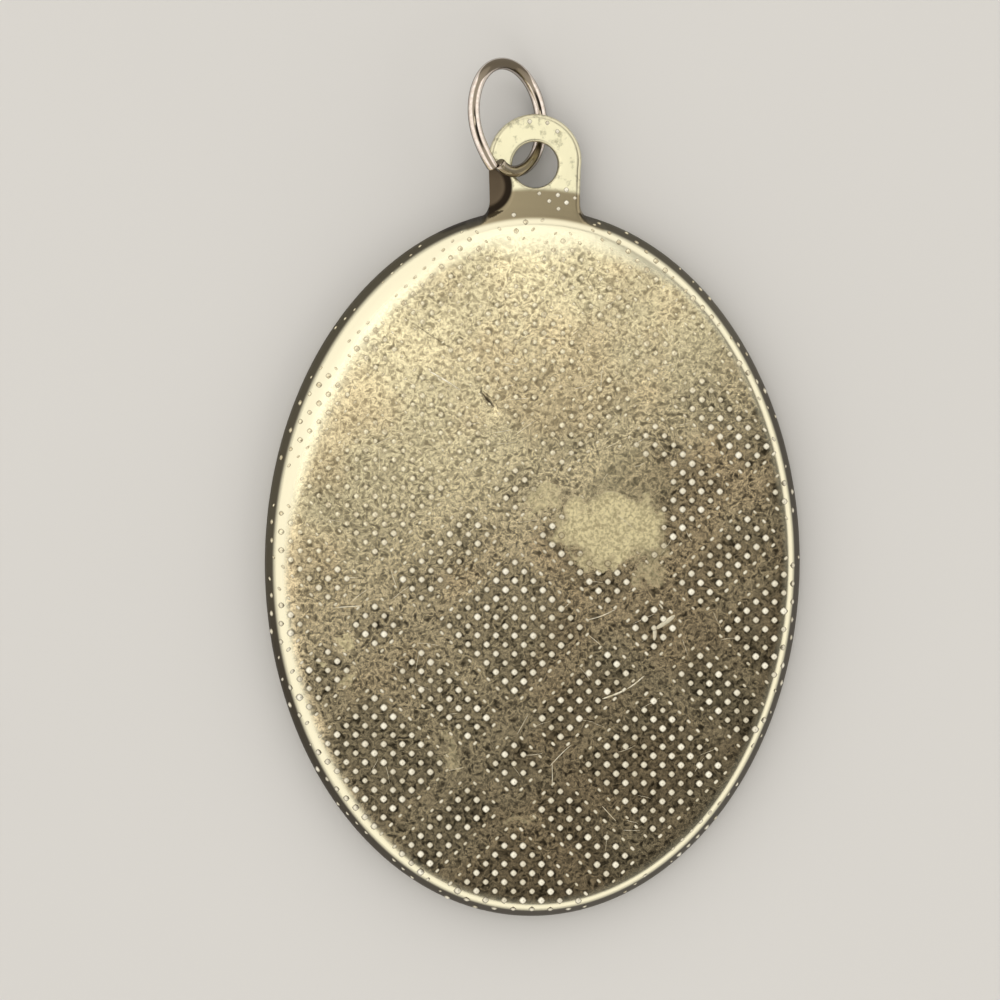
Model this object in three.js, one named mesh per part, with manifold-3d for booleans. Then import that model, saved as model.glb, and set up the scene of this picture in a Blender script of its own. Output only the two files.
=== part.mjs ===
// Oval religious medal with an ear and a loose open jump ring, lying face down.
// Millimetres, +Z up. The medal's front rim rests at z = 0 and its ear points along +Y.
import * as THREE from 'three';
import { mergeVertices } from 'three/addons/utils/BufferGeometryUtils.js';
import Module from 'manifold-3d';

const wasm = await Module();
wasm.setup();

// Jump ring
const RING_OUTER_DIAMETER = 7.0;
const WIRE_DIAMETER = 0.7;
const RING_TILT = 48.5;          // degrees between the ring's plane and the floor
const RING_TURN = 8;             // degrees its level diameter is turned from the Y axis
const FLOOR_GAP = 0.05;          // under the ring's lowest point
const JOINT_PLACE = 33;          // degrees round the ring, from its level diameter
const JOINT_GAP = 0.2;           // between the two cut ends
const JOINT_SPREAD = 0.32;       // how far the two ends miss each other sideways
const JOINT_BEND = 35;           // degrees of ring over which each end is bent away

// Ear and neck
const HOLE_PLAY = 0.99;          // from the wire to the hole's wall, all round a centred wire
const WIRE_LEFT_SHARE = 0.3;     // share of that play by which the wire is left of centre
const WIRE_UP_SHARE = 0.08;      // and above it, halfway through the ear
const HOLE_DROP = 0.23;          // hole's centre below the ear's centre
const HOLE_CHAMFER = 0.14;
const EAR_WALL = 1.38;           // metal between the hole and the ear's edge, if they were centred
const EAR_THICKNESS = 0.7;
const EAR_HEADROOM = 0.55;       // over the wire that lies under the ear
const EAR_REACH = 2.8;           // ear's centre beyond the end of the oval
const EAR_EDGE_ROUND = 0.24;
const NECK_WIDTH = 5.25;
const FLARE_RADIUS = 1.3;
const FLARE_SWEEP = 73;          // degrees each flare turns before it meets the oval
const EAR_WRAP = 10;             // degrees the ear's round edge goes on below its middle
const RAMP_LENGTH = 1.95;        // slope from the ear's face up to the panel's shoulder
const CREST_DROP = 0.1;          // top of that slope below the panel
const BLEND_DEPTH = 0.02;        // how deep the slope runs in under the shoulder
const HOLLOW_RADIUS = 1.62;      // pressed hollow in the neck's left side
const HOLLOW_FLOOR_RADIUS = 1.2;
const HOLLOW_FLOOR = 0.28;       // metal left under the hollow
const HOLLOW_OUT = 2.9;          // hollow's centre, left of the ear's centre
const HOLLOW_DOWN = 1.5;         // hollow's centre, below the ear's centre

// Oval body
const OVAL_WIDTH = 31.5;
const OVAL_LENGTH = 41.6;
const PANEL_RISE = 0.35;         // raised back panel above the ear's face
const SHEET_THICKNESS = 1.1;
const EDGE_BOTTOM = 0.45;        // the oval is widest from here
const EDGE_TOP = 0.95;           // to here
const SIDE_SLOPE = 0.4;          // how far in the side leans before the shoulder
const SHOULDER_RADIUS = 0.55;
const RIM_WIDTH = 1.1;           // flat rim round the hidden front
const RIM_CHAMFER = 0.25;
const RECESS_SLOPE = 0.35;

// Smoothness
const OVAL_STEPS = 96;
const SHOULDER_STEPS = 4;
const ARC_STEPS = 7;
const HOLE_STEPS = 40;
const WIRE_SIDES = 12;
const RING_STEPS = 72;

// Sizes that follow from the ones above
const wireRadius = WIRE_DIAMETER / 2;
const ringRadius = RING_OUTER_DIAMETER / 2 - wireRadius;
const holeRadius = wireRadius + HOLE_PLAY;
const earRadius = holeRadius + EAR_WALL;
const earBottom = FLOOR_GAP + WIRE_DIAMETER + EAR_HEADROOM;
const earTop = earBottom + EAR_THICKNESS;
const bodyTop = earTop + PANEL_RISE;
const recessTop = bodyTop - SHEET_THICKNESS;
const halfWidth = OVAL_WIDTH / 2;
const halfLength = OVAL_LENGTH / 2;
const ovalStretch = halfLength - halfWidth;

// The whole part, ring included, is centred on the origin along Y.
const ringTiltAngle = THREE.MathUtils.degToRad(RING_TILT);
const ringTurnAngle = THREE.MathUtils.degToRad(RING_TURN);
const levelAxis = new THREE.Vector3(Math.sin(ringTurnAngle), -Math.cos(ringTurnAngle), 0);
const climbAxis = new THREE.Vector3(-Math.cos(ringTurnAngle), -Math.sin(ringTurnAngle), 0)
  .multiplyScalar(Math.cos(ringTiltAngle))
  .add(new THREE.Vector3(0, 0, Math.sin(ringTiltAngle)));
const ringAxis = new THREE.Vector3().crossVectors(levelAxis, climbAxis);
const ringHeight = FLOOR_GAP + wireRadius + ringRadius * Math.sin(ringTiltAngle);

// A point of the ring's centre line, measured from the ring's centre.
function ringPoint(angle, radius) {
  return levelAxis.clone().multiplyScalar(radius * Math.cos(angle))
    .add(climbAxis.clone().multiplyScalar(radius * Math.sin(angle)));
}

const earMiddle = (earBottom + earTop) / 2;
const crossingAngle = Math.asin((earMiddle - ringHeight) / (ringRadius * Math.sin(ringTiltAngle)));
const earFromOval = halfLength + EAR_REACH;
const holeFromOval = earFromOval - HOLE_DROP;
const ringFromHole = new THREE.Vector3(-WIRE_LEFT_SHARE * HOLE_PLAY, WIRE_UP_SHARE * HOLE_PLAY, 0)
  .sub(ringPoint(crossingAngle, ringRadius));
const ringReach = Math.hypot(levelAxis.y, climbAxis.y) * ringRadius + wireRadius;
const topOfPart = holeFromOval + ringFromHole.y + ringReach;
const ovalY = -(topOfPart - halfLength) / 2;
const earY = ovalY + earFromOval;
const holeY = ovalY + holeFromOval;

// Closed mesh with shared corners and nothing but positions.
function closedMesh(geometry) {
  geometry.deleteAttribute('normal');
  geometry.deleteAttribute('uv');
  return mergeVertices(geometry, 1e-4);
}

function toSolid(geometry) {
  const merged = closedMesh(geometry);
  const vertProperties = new Float32Array(merged.attributes.position.array);
  const triVerts = new Uint32Array(merged.index.array);
  return new wasm.Manifold(new wasm.Mesh({ numProp: 3, vertProperties, triVerts }));
}

function toGeometry(solid) {
  const mesh = solid.getMesh();
  const geometry = new THREE.BufferGeometry();
  geometry.setAttribute('position', new THREE.BufferAttribute(mesh.vertProperties, 3));
  geometry.setIndex(new THREE.BufferAttribute(mesh.triVerts, 1));
  return geometry;
}

// Turned solid standing on the Z axis, from points of radius and height.
function turned(profile, steps) {
  const geometry = new THREE.LatheGeometry(profile, steps);
  geometry.rotateX(Math.PI / 2);
  return geometry;
}

// A turned solid drawn out along Y, so that every line of its section stays at the same
// distance from the oval's edge. Its profile gives insets from that edge and heights.
function turnedOval(profile) {
  const geometry = turned(
    profile.map(({ inset, height }) => new THREE.Vector2(halfWidth - inset, height)),
    OVAL_STEPS,
  );
  const position = geometry.attributes.position;
  for (let i = 0; i < position.count; i += 1) {
    const radius = Math.hypot(position.getX(i), position.getY(i));
    if (radius > 1e-6) {
      position.setY(i, position.getY(i) * (radius + ovalStretch) / radius);
    }
  }
  geometry.translate(0, ovalY, 0);
  return toSolid(geometry);
}

// How far in from the oval's edge the back's surface lies at a height above the edge.
function sideInset(height) {
  const aboveEdge = Math.max(0, height - EDGE_TOP);
  const shoulderFoot = bodyTop - SHOULDER_RADIUS;
  if (height <= shoulderFoot) {
    return SIDE_SLOPE * aboveEdge / (shoulderFoot - EDGE_TOP);
  }
  const climb = Math.min(1, (height - shoulderFoot) / SHOULDER_RADIUS);
  return SIDE_SLOPE + SHOULDER_RADIUS * (1 - Math.sqrt(1 - climb * climb));
}

function ovalSolid() {
  const rimInner = RIM_CHAMFER + RIM_WIDTH;
  const profile = [
    { inset: halfWidth, height: recessTop },
    { inset: rimInner + RECESS_SLOPE, height: recessTop },
    { inset: rimInner, height: 0 },
    { inset: RIM_CHAMFER, height: 0 },
    { inset: 0, height: EDGE_BOTTOM },
    { inset: 0, height: EDGE_TOP },
  ];
  for (let i = 0; i <= SHOULDER_STEPS; i += 1) {
    const turn = (Math.PI / 2) * (i / SHOULDER_STEPS);
    const height = bodyTop - SHOULDER_RADIUS * (1 - Math.sin(turn));
    profile.push({ inset: sideInset(height), height });
  }
  profile.push({ inset: halfWidth, height: bodyTop });
  return turnedOval(profile);
}

function arc(centreX, centreY, radius, fromDegrees, toDegrees, steps) {
  const points = [];
  for (let i = 0; i <= steps; i += 1) {
    const angle = THREE.MathUtils.degToRad(fromDegrees + (toDegrees - fromDegrees) * (i / steps));
    points.push([centreX + radius * Math.cos(angle), centreY + radius * Math.sin(angle)]);
  }
  return points;
}

// Outline of ear and neck, anticlockwise from the buried right corner, drawn in by an inset.
// Its flares slide in with the oval's side, so that they meet it at every height.
function neckOutline(inset, height) {
  const fromEdge = sideInset(height);
  const flareX = NECK_WIDTH / 2 + FLARE_RADIUS;
  const flareTurn = THREE.MathUtils.degToRad(FLARE_SWEEP);
  const endX = (flareX - FLARE_RADIUS * Math.cos(flareTurn)) / (halfWidth - fromEdge);
  const endY = ovalY + (halfLength - fromEdge) * Math.sqrt(1 - endX * endX);
  const flareY = endY + FLARE_RADIUS * Math.sin(flareTurn);
  const flare = FLARE_RADIUS + inset;
  const right = arc(flareX, flareY, flare, 180 + FLARE_SWEEP, 180, ARC_STEPS);
  const round = arc(0, earY, earRadius - inset, -EAR_WRAP, 180 + EAR_WRAP, 3 * ARC_STEPS);
  const left = arc(-flareX, flareY, flare, 0, -FLARE_SWEEP, ARC_STEPS);
  const buriedY = right[0][1] - RIM_WIDTH / 4;
  return [
    [right[0][0], buriedY],
    ...right,
    ...round,
    ...left,
    [left[ARC_STEPS][0], buriedY],
  ];
}

// Closed body through outlines of equally many points, each at its own height.
function loft(levels) {
  const count = levels[0].points.length;
  const corners = [];
  const faces = [];
  for (const level of levels) {
    for (const [x, y] of level.points) {
      corners.push(x, y, level.height);
    }
  }
  for (let row = 0; row < levels.length - 1; row += 1) {
    for (let i = 0; i < count; i += 1) {
      const next = (i + 1) % count;
      const a = row * count + i;
      const b = row * count + next;
      faces.push(a, b, b + count, a, b + count, a + count);
    }
  }
  const lidOf = (points) => THREE.ShapeUtils.triangulateShape(
    points.map(([x, y]) => new THREE.Vector2(x, y)),
    [],
  );
  const last = (levels.length - 1) * count;
  for (const [a, b, c] of lidOf(levels[0].points)) {
    faces.push(c, b, a);
  }
  for (const [a, b, c] of lidOf(levels[levels.length - 1].points)) {
    faces.push(last + a, last + b, last + c);
  }
  const geometry = new THREE.BufferGeometry();
  geometry.setAttribute('position', new THREE.Float32BufferAttribute(corners, 3));
  geometry.setIndex(faces);
  return toSolid(geometry);
}

// Ear and neck plate with softened edges, tall enough to reach the panel's shoulder.
function neckBlank() {
  const levels = [
    { height: earBottom, inset: EAR_EDGE_ROUND / 2 },
    { height: earBottom + EAR_EDGE_ROUND / 2, inset: 0 },
    { height: earTop - EAR_EDGE_ROUND, inset: 0 },
    { height: earTop - EAR_EDGE_ROUND / 3, inset: EAR_EDGE_ROUND / 3 },
    { height: bodyTop, inset: EAR_EDGE_ROUND },
  ];
  return loft(levels.map(({ height, inset }) => ({ height, points: neckOutline(inset, height) })));
}

// What is taken off above the ear's face and above the slope that climbs to the panel.
function spaceAboveNeck() {
  const crestHeight = bodyTop - CREST_DROP;
  const crest = sideInset(crestHeight + BLEND_DEPTH);
  const beyond = RAMP_LENGTH + 2 * (EAR_REACH + earRadius);
  return turnedOval([
    { inset: crest + SHOULDER_RADIUS, height: crestHeight - SHOULDER_RADIUS },
    { inset: crest, height: crestHeight },
    { inset: crest - RAMP_LENGTH, height: earTop },
    { inset: crest - beyond, height: earTop },
    { inset: crest - beyond, height: bodyTop + EAR_THICKNESS },
    { inset: crest + SHOULDER_RADIUS, height: bodyTop + EAR_THICKNESS },
    { inset: crest + SHOULDER_RADIUS, height: crestHeight - SHOULDER_RADIUS },
  ]);
}

// Punch for the ear's hole, wider at both faces so that it leaves softened lips.
function holePunch() {
  const past = EAR_THICKNESS;
  const wide = holeRadius + HOLE_CHAMFER + past;
  const geometry = turned([
    new THREE.Vector2(0, earBottom - past),
    new THREE.Vector2(wide, earBottom - past),
    new THREE.Vector2(holeRadius, earBottom + HOLE_CHAMFER),
    new THREE.Vector2(holeRadius, earTop - HOLE_CHAMFER),
    new THREE.Vector2(wide, earTop + past),
    new THREE.Vector2(0, earTop + past),
  ], HOLE_STEPS);
  geometry.translate(0, holeY, 0);
  return toSolid(geometry);
}

// Round die that presses the hollow into the neck's left side.
function hollowDie() {
  const floor = earBottom + HOLLOW_FLOOR;
  const past = PANEL_RISE + SHOULDER_RADIUS;
  const geometry = turned([
    new THREE.Vector2(0, floor),
    new THREE.Vector2(HOLLOW_FLOOR_RADIUS, floor),
    new THREE.Vector2(HOLLOW_RADIUS, earTop),
    new THREE.Vector2(HOLLOW_RADIUS, earTop + past),
    new THREE.Vector2(0, earTop + past),
  ], HOLE_STEPS);
  geometry.translate(-HOLLOW_OUT, earY - HOLLOW_DOWN, 0);
  return toSolid(geometry);
}

function medalBody() {
  const neck = neckBlank()
    .subtract(spaceAboveNeck())
    .subtract(holePunch())
    .subtract(hollowDie());
  return toGeometry(ovalSolid().add(neck));
}

// Centre line of the ring's wire. Near the cut, one end is bent out and the other in.
class RingLine extends THREE.Curve {
  getPoint(share, target = new THREE.Vector3()) {
    const joint = THREE.MathUtils.degToRad(JOINT_PLACE);
    const halfGap = JOINT_GAP / 2 / ringRadius;
    const travelled = halfGap + share * 2 * (Math.PI - halfGap);
    const fromCut = Math.min(travelled, 2 * Math.PI - travelled);
    const bend = Math.max(0, 1 - fromCut / THREE.MathUtils.degToRad(JOINT_BEND)) ** 2;
    const side = share < 0.5 ? 1 : -1;
    const offset = side * bend * JOINT_SPREAD / 2;
    const point = ringPoint(joint + travelled, ringRadius + offset)
      .add(ringAxis.clone().multiplyScalar(offset));
    return target.copy(point);
  }
}

function jumpRing() {
  const section = new THREE.Shape();
  for (let i = 0; i < WIRE_SIDES; i += 1) {
    const angle = 2 * Math.PI * (i / WIRE_SIDES);
    const x = wireRadius * Math.cos(angle);
    const y = wireRadius * Math.sin(angle);
    if (i === 0) {
      section.moveTo(x, y);
    } else {
      section.lineTo(x, y);
    }
  }
  section.closePath();
  const geometry = new THREE.ExtrudeGeometry(section, {
    steps: RING_STEPS,
    extrudePath: new RingLine(),
  });
  return closedMesh(geometry);
}

function pale(colour, roughness) {
  return new THREE.MeshStandardMaterial({ color: colour, metalness: 1, roughness });
}

const pendant = new THREE.Group();

const body = new THREE.Mesh(medalBody(), pale(0xc9bd8c, 0.42));
body.name = 'medal_body';
pendant.add(body);

const ring = new THREE.Mesh(jumpRing(), pale(0xcfc3b4, 0.25));
ring.name = 'jump_ring';
ring.position.set(ringFromHole.x, holeY + ringFromHole.y, ringHeight);
pendant.add(ring);

export default pendant;
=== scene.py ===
# %% [markdown]
# The back of a worn oval medal, with its ear and a loose open jump ring.
# The CAD model gives every size and place. It is loaded first, as a fixed frame, and nothing in it
# is moved or changed. What follows dresses it: a finer skin for the medal and the ring, the small
# raised pips of the back, the metals and the scratches. A floor, a light and a camera come last.

# %% Load the frame
import math

import bmesh
import bpy
import numpy as np
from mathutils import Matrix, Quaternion, Vector
from mathutils.geometry import delaunay_2d_cdt


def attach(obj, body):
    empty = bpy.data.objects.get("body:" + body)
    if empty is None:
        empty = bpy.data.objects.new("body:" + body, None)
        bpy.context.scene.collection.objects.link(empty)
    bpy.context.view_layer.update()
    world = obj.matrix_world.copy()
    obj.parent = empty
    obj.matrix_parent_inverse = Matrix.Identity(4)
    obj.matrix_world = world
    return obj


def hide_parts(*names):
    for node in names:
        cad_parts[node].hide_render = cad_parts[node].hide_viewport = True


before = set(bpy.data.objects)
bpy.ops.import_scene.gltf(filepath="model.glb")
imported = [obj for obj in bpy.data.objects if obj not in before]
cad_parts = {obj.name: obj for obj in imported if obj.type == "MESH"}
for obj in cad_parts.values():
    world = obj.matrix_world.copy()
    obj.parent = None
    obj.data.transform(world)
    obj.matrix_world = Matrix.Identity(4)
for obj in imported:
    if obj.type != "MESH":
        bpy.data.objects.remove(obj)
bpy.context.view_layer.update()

# %% [markdown]
# Sizes come first, in millimetres, as a maker would write them on a drawing. They repeat the
# CAD model's own values, because this script can't read that file. Meshes are worked out in
# millimetres too, and are turned into metres only when they become Blender objects.

# %% Sizes of the medal
MM = 0.001
OVAL_Y = -4.374               # centre of the oval
HALF_WIDTH = 15.75
HALF_LENGTH = 20.8
OVAL_TOP = OVAL_Y + HALF_LENGTH
BACK = 2.35                   # height of the flat back panel
EAR_TOP = 2.0
EAR_BOTTOM = 1.3
EDGE_BOTTOM = 0.45            # the oval is widest from here
EDGE_TOP = 0.95               # to here
SHOULDER_IN = 0.95            # where the rounded shoulder meets the panel
SHOULDER_RADIUS = 0.55
RIM_OUTER = 0.25              # flat rim round the hidden front, as insets from the edge
RIM_INNER = 1.35
RECESS_EDGE = 1.7
RECESS_TOP = 1.25

# %% Sizes of the ear and neck
EAR_Y = 19.226
EAR_RADIUS = 2.72
HOLE_PLACE = (0, 18.996)
HOLE_RADIUS = 1.34
LIP = 0.14                    # softened edge of the hole
EDGE_ROUND = 0.24
UNDER_ROUND = 0.12
NECK_HALF = 2.625
FLARE_RADIUS = 1.3
FLARE_SWEEP = math.radians(73)
EAR_WRAP = math.radians(10)
RAMP_LENGTH = 1.95
CREST_IN = 0.664              # where the neck's slope runs in under the shoulder
WALL_FOOT = 1.46              # lowest line of the neck's side above its underside
HOLLOW_X = -2.9
HOLLOW_Y = 17.726
HOLLOW_RADIUS = 1.62
HOLLOW_FLOOR_RADIUS = 1.2
HOLLOW_FLOOR = 1.58
HOLLOW_LIP = ((-2.2, 16.23), (-3.8, 15.59))     # its lower lip runs out along the flare
LIP_SHORT = 0.25              # the lip fades this much before its inner end
print("medal", 2 * HALF_WIDTH, "by", 2 * HALF_LENGTH, "mm, ear", 2 * EAR_RADIUS, "mm wide")

# %% [markdown]
# A stamped medal's back is a surface that can be written as a height over the floor for every
# point of its outline, and so is its underside. That makes a clean way to model it: say how high
# the metal is at any point, scatter points densely only where the surface bends, join them into
# triangles and lift them. A boolean of rough blocks would leave hard seams where neck, shoulder
# and hollow meet. Here those places melt into each other, as pressed metal does.

# %% Where a point lies on the oval
FARTHEST_OUT = -9.0           # the search for an inset starts this far outside the oval
HALVINGS = 34


def oval_inset(x, y):
    """How far in from the oval's edge a point lies; less than 0 outside it."""
    low = np.full(np.shape(x), FARTHEST_OUT)
    high = np.full(np.shape(x), HALF_WIDTH - 1e-4)
    for _ in range(HALVINGS):
        middle = (low + high) / 2
        across = x / (HALF_WIDTH - middle)
        along = (y - OVAL_Y) / (HALF_LENGTH - middle)
        outside = across ** 2 + along ** 2 > 1
        high = np.where(outside, middle, high)
        low = np.where(outside, low, middle)
    return (low + high) / 2


def oval_ring(inset, turns):
    """Points of the oval drawn in by an inset, at the given angles."""
    x = (HALF_WIDTH - inset) * np.cos(turns)
    y = OVAL_Y + (HALF_LENGTH - inset) * np.sin(turns)
    return np.column_stack([x, y])


def step_up(value, low, high):
    """0 below low, 1 above high, smooth between."""
    share = np.clip((value - low) / (high - low), 0, 1)
    return share * share * (3 - 2 * share)


def soft_max(a, b, blend):
    """The larger value, rounded over where the two meet."""
    return (a + b + np.sqrt((a - b) ** 2 + blend ** 2)) / 2


def soft_min(a, b, blend):
    """The smaller value, rounded over where the two meet."""
    return (a + b - np.sqrt((a - b) ** 2 + blend ** 2)) / 2


# %% Height of the oval's back and underside
CROWN_DROP = 0.11             # how far the panel has sunk where it meets the shoulder
CROWN_IN = 1.95               # the inset where it starts to sink
CROWN_TOWARDS = (-0.8, 0.6)   # the crown grows this way, to the upper left
CROWN_GROWS = (-0.2, 0.5)     # between these places along that way
CROWN_LEAST = 0.2             # its share at the lower right
NECK_CROWN = 0.35             # its share next to the neck
NECK_REACH = 7.5              # half width of the stretch that counts as next to the neck
NECK_FADE = 4.0
NECK_FROM_Y = 10.0
STEEP_RISE = 8                # outside its edge the underside climbs steeply, out of the way
SHOULDER_FOOT = BACK - SHOULDER_RADIUS
SIDE_RISE = SHOULDER_FOOT - EDGE_TOP
SIDE_REACH = math.hypot(SHOULDER_IN, SIDE_RISE)
SHOULDER_TURN = math.atan2(SIDE_RISE, SHOULDER_IN) + math.asin(SHOULDER_RADIUS / SIDE_REACH)
LEAN_END = SHOULDER_IN - SHOULDER_RADIUS * math.sin(SHOULDER_TURN)


def crown(inset, share):
    """How far the panel has sunk towards its edge; the share is 1 where it is roundest."""
    width = CROWN_IN - SHOULDER_IN
    panel = (np.clip(CROWN_IN - inset, 0, width) / width) ** 2
    beyond = 2 * np.clip(SHOULDER_IN - inset, 0, SHOULDER_IN) / width
    return CROWN_DROP * share * (panel + beyond)


def crown_share(points):
    """The crown is full towards the upper left and low at the right and the bottom."""
    x, y = points[:, 0], points[:, 1]
    towards = x / HALF_WIDTH * CROWN_TOWARDS[0] + (y - OVAL_Y) / HALF_LENGTH * CROWN_TOWARDS[1]
    share = CROWN_LEAST + (1 - CROWN_LEAST) * step_up(towards, *CROWN_GROWS)
    near_neck = step_up(NECK_REACH - np.abs(x), 0, NECK_FADE) * (y > NECK_FROM_Y)
    return share + (NECK_CROWN - share) * near_neck


def oval_back(inset, share):
    """Leaning side, round shoulder, panel that is crowned near its edge."""
    from_panel = np.clip(SHOULDER_IN - inset, 0, SHOULDER_RADIUS)
    rounding = np.sqrt(SHOULDER_RADIUS ** 2 - from_panel ** 2)
    shoulder = SHOULDER_FOOT + rounding - crown(inset, share)
    lean_top = SHOULDER_FOOT + SHOULDER_RADIUS * math.cos(SHOULDER_TURN) - crown(LEAN_END, share)
    side = EDGE_TOP + (lean_top - EDGE_TOP) * inset / LEAN_END
    return np.where(inset < LEAN_END, side, shoulder)


def oval_front(inset):
    """Edge, flat rim and shallow recess, seen from below."""
    stations = [-1.0, 0.0, RIM_OUTER, RIM_INNER, RECESS_EDGE, HALF_WIDTH]
    heights = [EDGE_BOTTOM + STEEP_RISE, EDGE_BOTTOM, 0, 0, RECESS_TOP, RECESS_TOP]
    return np.interp(inset, stations, heights)


CREST_UNDER = 0.01            # the neck's slope runs in this far under the shoulder
CREST = float(oval_back(CREST_IN, NECK_CROWN)) - CREST_UNDER
print("the side's lean ends at inset", round(LEAN_END, 3), "and the slope at height", round(CREST, 3))

# %% Outline of the neck and ear
BELOW_TOES = 4.0              # the neck's area is closed this far below its toes
LINE_SPACING = 0.12


def circle_points(centre, radius, turns):
    return np.column_stack([centre[0] + radius * np.cos(turns), centre[1] + radius * np.sin(turns)])


def arc_points(centre, radius, start, end, spacing):
    count = max(4, round(abs(end - start) * radius / spacing))
    return circle_points(centre, radius, np.linspace(start, end, count + 1))


def shoulder_inset(height):
    """How far in the oval's back lies at a height."""
    insets = np.linspace(0, SHOULDER_IN, 400)
    return float(np.interp(height, oval_back(insets, NECK_CROWN), insets))


def neck_outline(height, spacing):
    """Open line from the right flare's toe, round the ear, to the left flare's toe."""
    inset = shoulder_inset(height)
    flare_x = NECK_HALF + FLARE_RADIUS
    toe_x = flare_x - FLARE_RADIUS * math.cos(FLARE_SWEEP)
    toe_y = OVAL_Y + (HALF_LENGTH - inset) * math.sqrt(1 - (toe_x / (HALF_WIDTH - inset)) ** 2)
    flare_y = toe_y + FLARE_RADIUS * math.sin(FLARE_SWEEP)
    right = arc_points((flare_x, flare_y), FLARE_RADIUS, math.pi + FLARE_SWEEP, math.pi, spacing)
    round_ear = arc_points((0, EAR_Y), EAR_RADIUS, -EAR_WRAP, math.pi + EAR_WRAP, spacing)
    rise = round((round_ear[0][1] - right[-1][1]) / spacing)
    share = np.linspace(0, 1, max(2, rise) + 1)[1:-1, None]
    up = right[-1] + share * (round_ear[0] - right[-1])
    half = np.vstack([right, up])
    left = half[::-1] * [-1, 1]
    return np.vstack([half, round_ear, left])


def inside_polygon(points, corners):
    """True for points that a closed line of corners goes round."""
    inside = np.zeros(len(points), dtype=bool)
    for a, b in zip(corners, np.roll(corners, -1, axis=0)):
        crosses = (a[1] > points[:, 1]) != (b[1] > points[:, 1])
        if a[1] == b[1]:
            continue
        x = a[0] + (points[:, 1] - a[1]) * (b[0] - a[0]) / (b[1] - a[1])
        inside ^= crosses & (points[:, 0] < x)
    return inside


def distance_inside(points, line):
    """Signed distance to an open line, counted as positive on the neck's side of it."""
    below = np.array([0, BELOW_TOES])
    closed = np.vstack([line, line[-1] - below, line[0] - below])
    best = np.full(len(points), 1e9)
    for a, b in zip(line[:-1], line[1:]):
        step = b - a
        share = np.clip(((points - a) @ step) / (step @ step), 0, 1)
        gap = points - a - share[:, None] * step
        best = np.minimum(best, np.hypot(gap[:, 0], gap[:, 1]))
    return np.where(inside_polygon(points, closed), best, -best)


TOP_LINE = neck_outline(EAR_TOP, LINE_SPACING)
FOOT_LINE = neck_outline(WALL_FOOT, LINE_SPACING)
print("neck outline points:", len(TOP_LINE), len(FOOT_LINE))

# %% Height of the neck, ear and pressed hollow
RAMP_FOOT_BLEND = 0.1         # rounding where the slope leaves the ear's flat face
HOLLOW_BLEND = 0.2            # where the hollow's round part meets its lip
FLOOR_BLEND = 0.12            # at the foot of the hollow's wall
HOLLOW_EDGE_BLEND = 0.02      # and at its top
WALL_LEAST = 0.08             # least width that the neck's leaning wall is given
OUTSIDE_FALL = 3              # slope of the height beyond the foot of that wall


def neck_face(inset):
    """Flat ear face, then the slope that climbs to the shoulder."""
    slope = (CREST - EAR_TOP) / RAMP_LENGTH
    past = inset - (CREST_IN - RAMP_LENGTH)
    climb = slope * (past + np.sqrt(past ** 2 + RAMP_FOOT_BLEND ** 2)) / 2
    buried = CREST - (inset - CREST_IN)
    return np.minimum(EAR_TOP + climb, buried)


def rounded_drop(depth_in, radius):
    """How far a rounded edge has fallen at a distance in from the edge."""
    short = np.clip(radius - depth_in, 0, radius)
    return radius - np.sqrt(radius ** 2 - short ** 2)


def outside_hole(points):
    return np.hypot(points[:, 0] - HOLE_PLACE[0], points[:, 1] - HOLE_PLACE[1]) - HOLE_RADIUS


def lip_drop(points):
    """How far the metal has fallen at the hole's softened edge."""
    from_hole = outside_hole(points)
    return np.where(from_hole < LIP, rounded_drop(np.maximum(from_hole, 0), LIP), 0)


def inside_hollow(points):
    """Signed distance into the hollow: its round part, or the strip above its lower lip."""
    in_round = HOLLOW_RADIUS - np.hypot(points[:, 0] - HOLLOW_X, points[:, 1] - HOLLOW_Y)
    start, end = (np.array(p) for p in HOLLOW_LIP)
    along = (end - start) / np.linalg.norm(end - start)
    above = (points - start) @ np.array([along[1], -along[0]])
    above = soft_min(above, start[0] - LIP_SHORT - points[:, 0], HOLLOW_BLEND)
    above = np.minimum(above, HOLLOW_Y - points[:, 1])
    return soft_max(in_round, above, HOLLOW_BLEND)


def neck_back(points, inset):
    """Height of the neck's and ear's upper side, with its walls, the hollow and the hole's lip."""
    top = neck_face(inset)
    in_top = distance_inside(points, TOP_LINE)
    in_foot = distance_inside(points, FOOT_LINE)
    edge = top - rounded_drop(np.maximum(in_top, 0), EDGE_ROUND)
    lean = np.clip(-in_top / np.maximum(in_foot - in_top, WALL_LEAST), 0, 1)
    wall = (top - EDGE_ROUND) + (WALL_FOOT - (top - EDGE_ROUND)) * lean
    height = np.where(in_top >= 0, edge, wall)
    beyond = np.minimum(height, WALL_FOOT + OUTSIDE_FALL * in_foot)
    height = np.where(in_foot < -1e-3, beyond, height)
    wall_climb = (EAR_TOP - HOLLOW_FLOOR) / (HOLLOW_RADIUS - HOLLOW_FLOOR_RADIUS)
    to_floor = HOLLOW_RADIUS - HOLLOW_FLOOR_RADIUS - inside_hollow(points)
    hollow = HOLLOW_FLOOR + wall_climb * soft_max(to_floor, 0, FLOOR_BLEND)
    return soft_min(height, hollow, HOLLOW_EDGE_BLEND) - lip_drop(points)


print("hollow, mm below the ear's face:", round(EAR_TOP - HOLLOW_FLOOR, 2))

# %% [markdown]
# A short deep nick and one long fine scratch are cut into the panel. Each has its own rows of
# points, so that the wide triangles of the panel don't have to be finer anywhere else.

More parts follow.
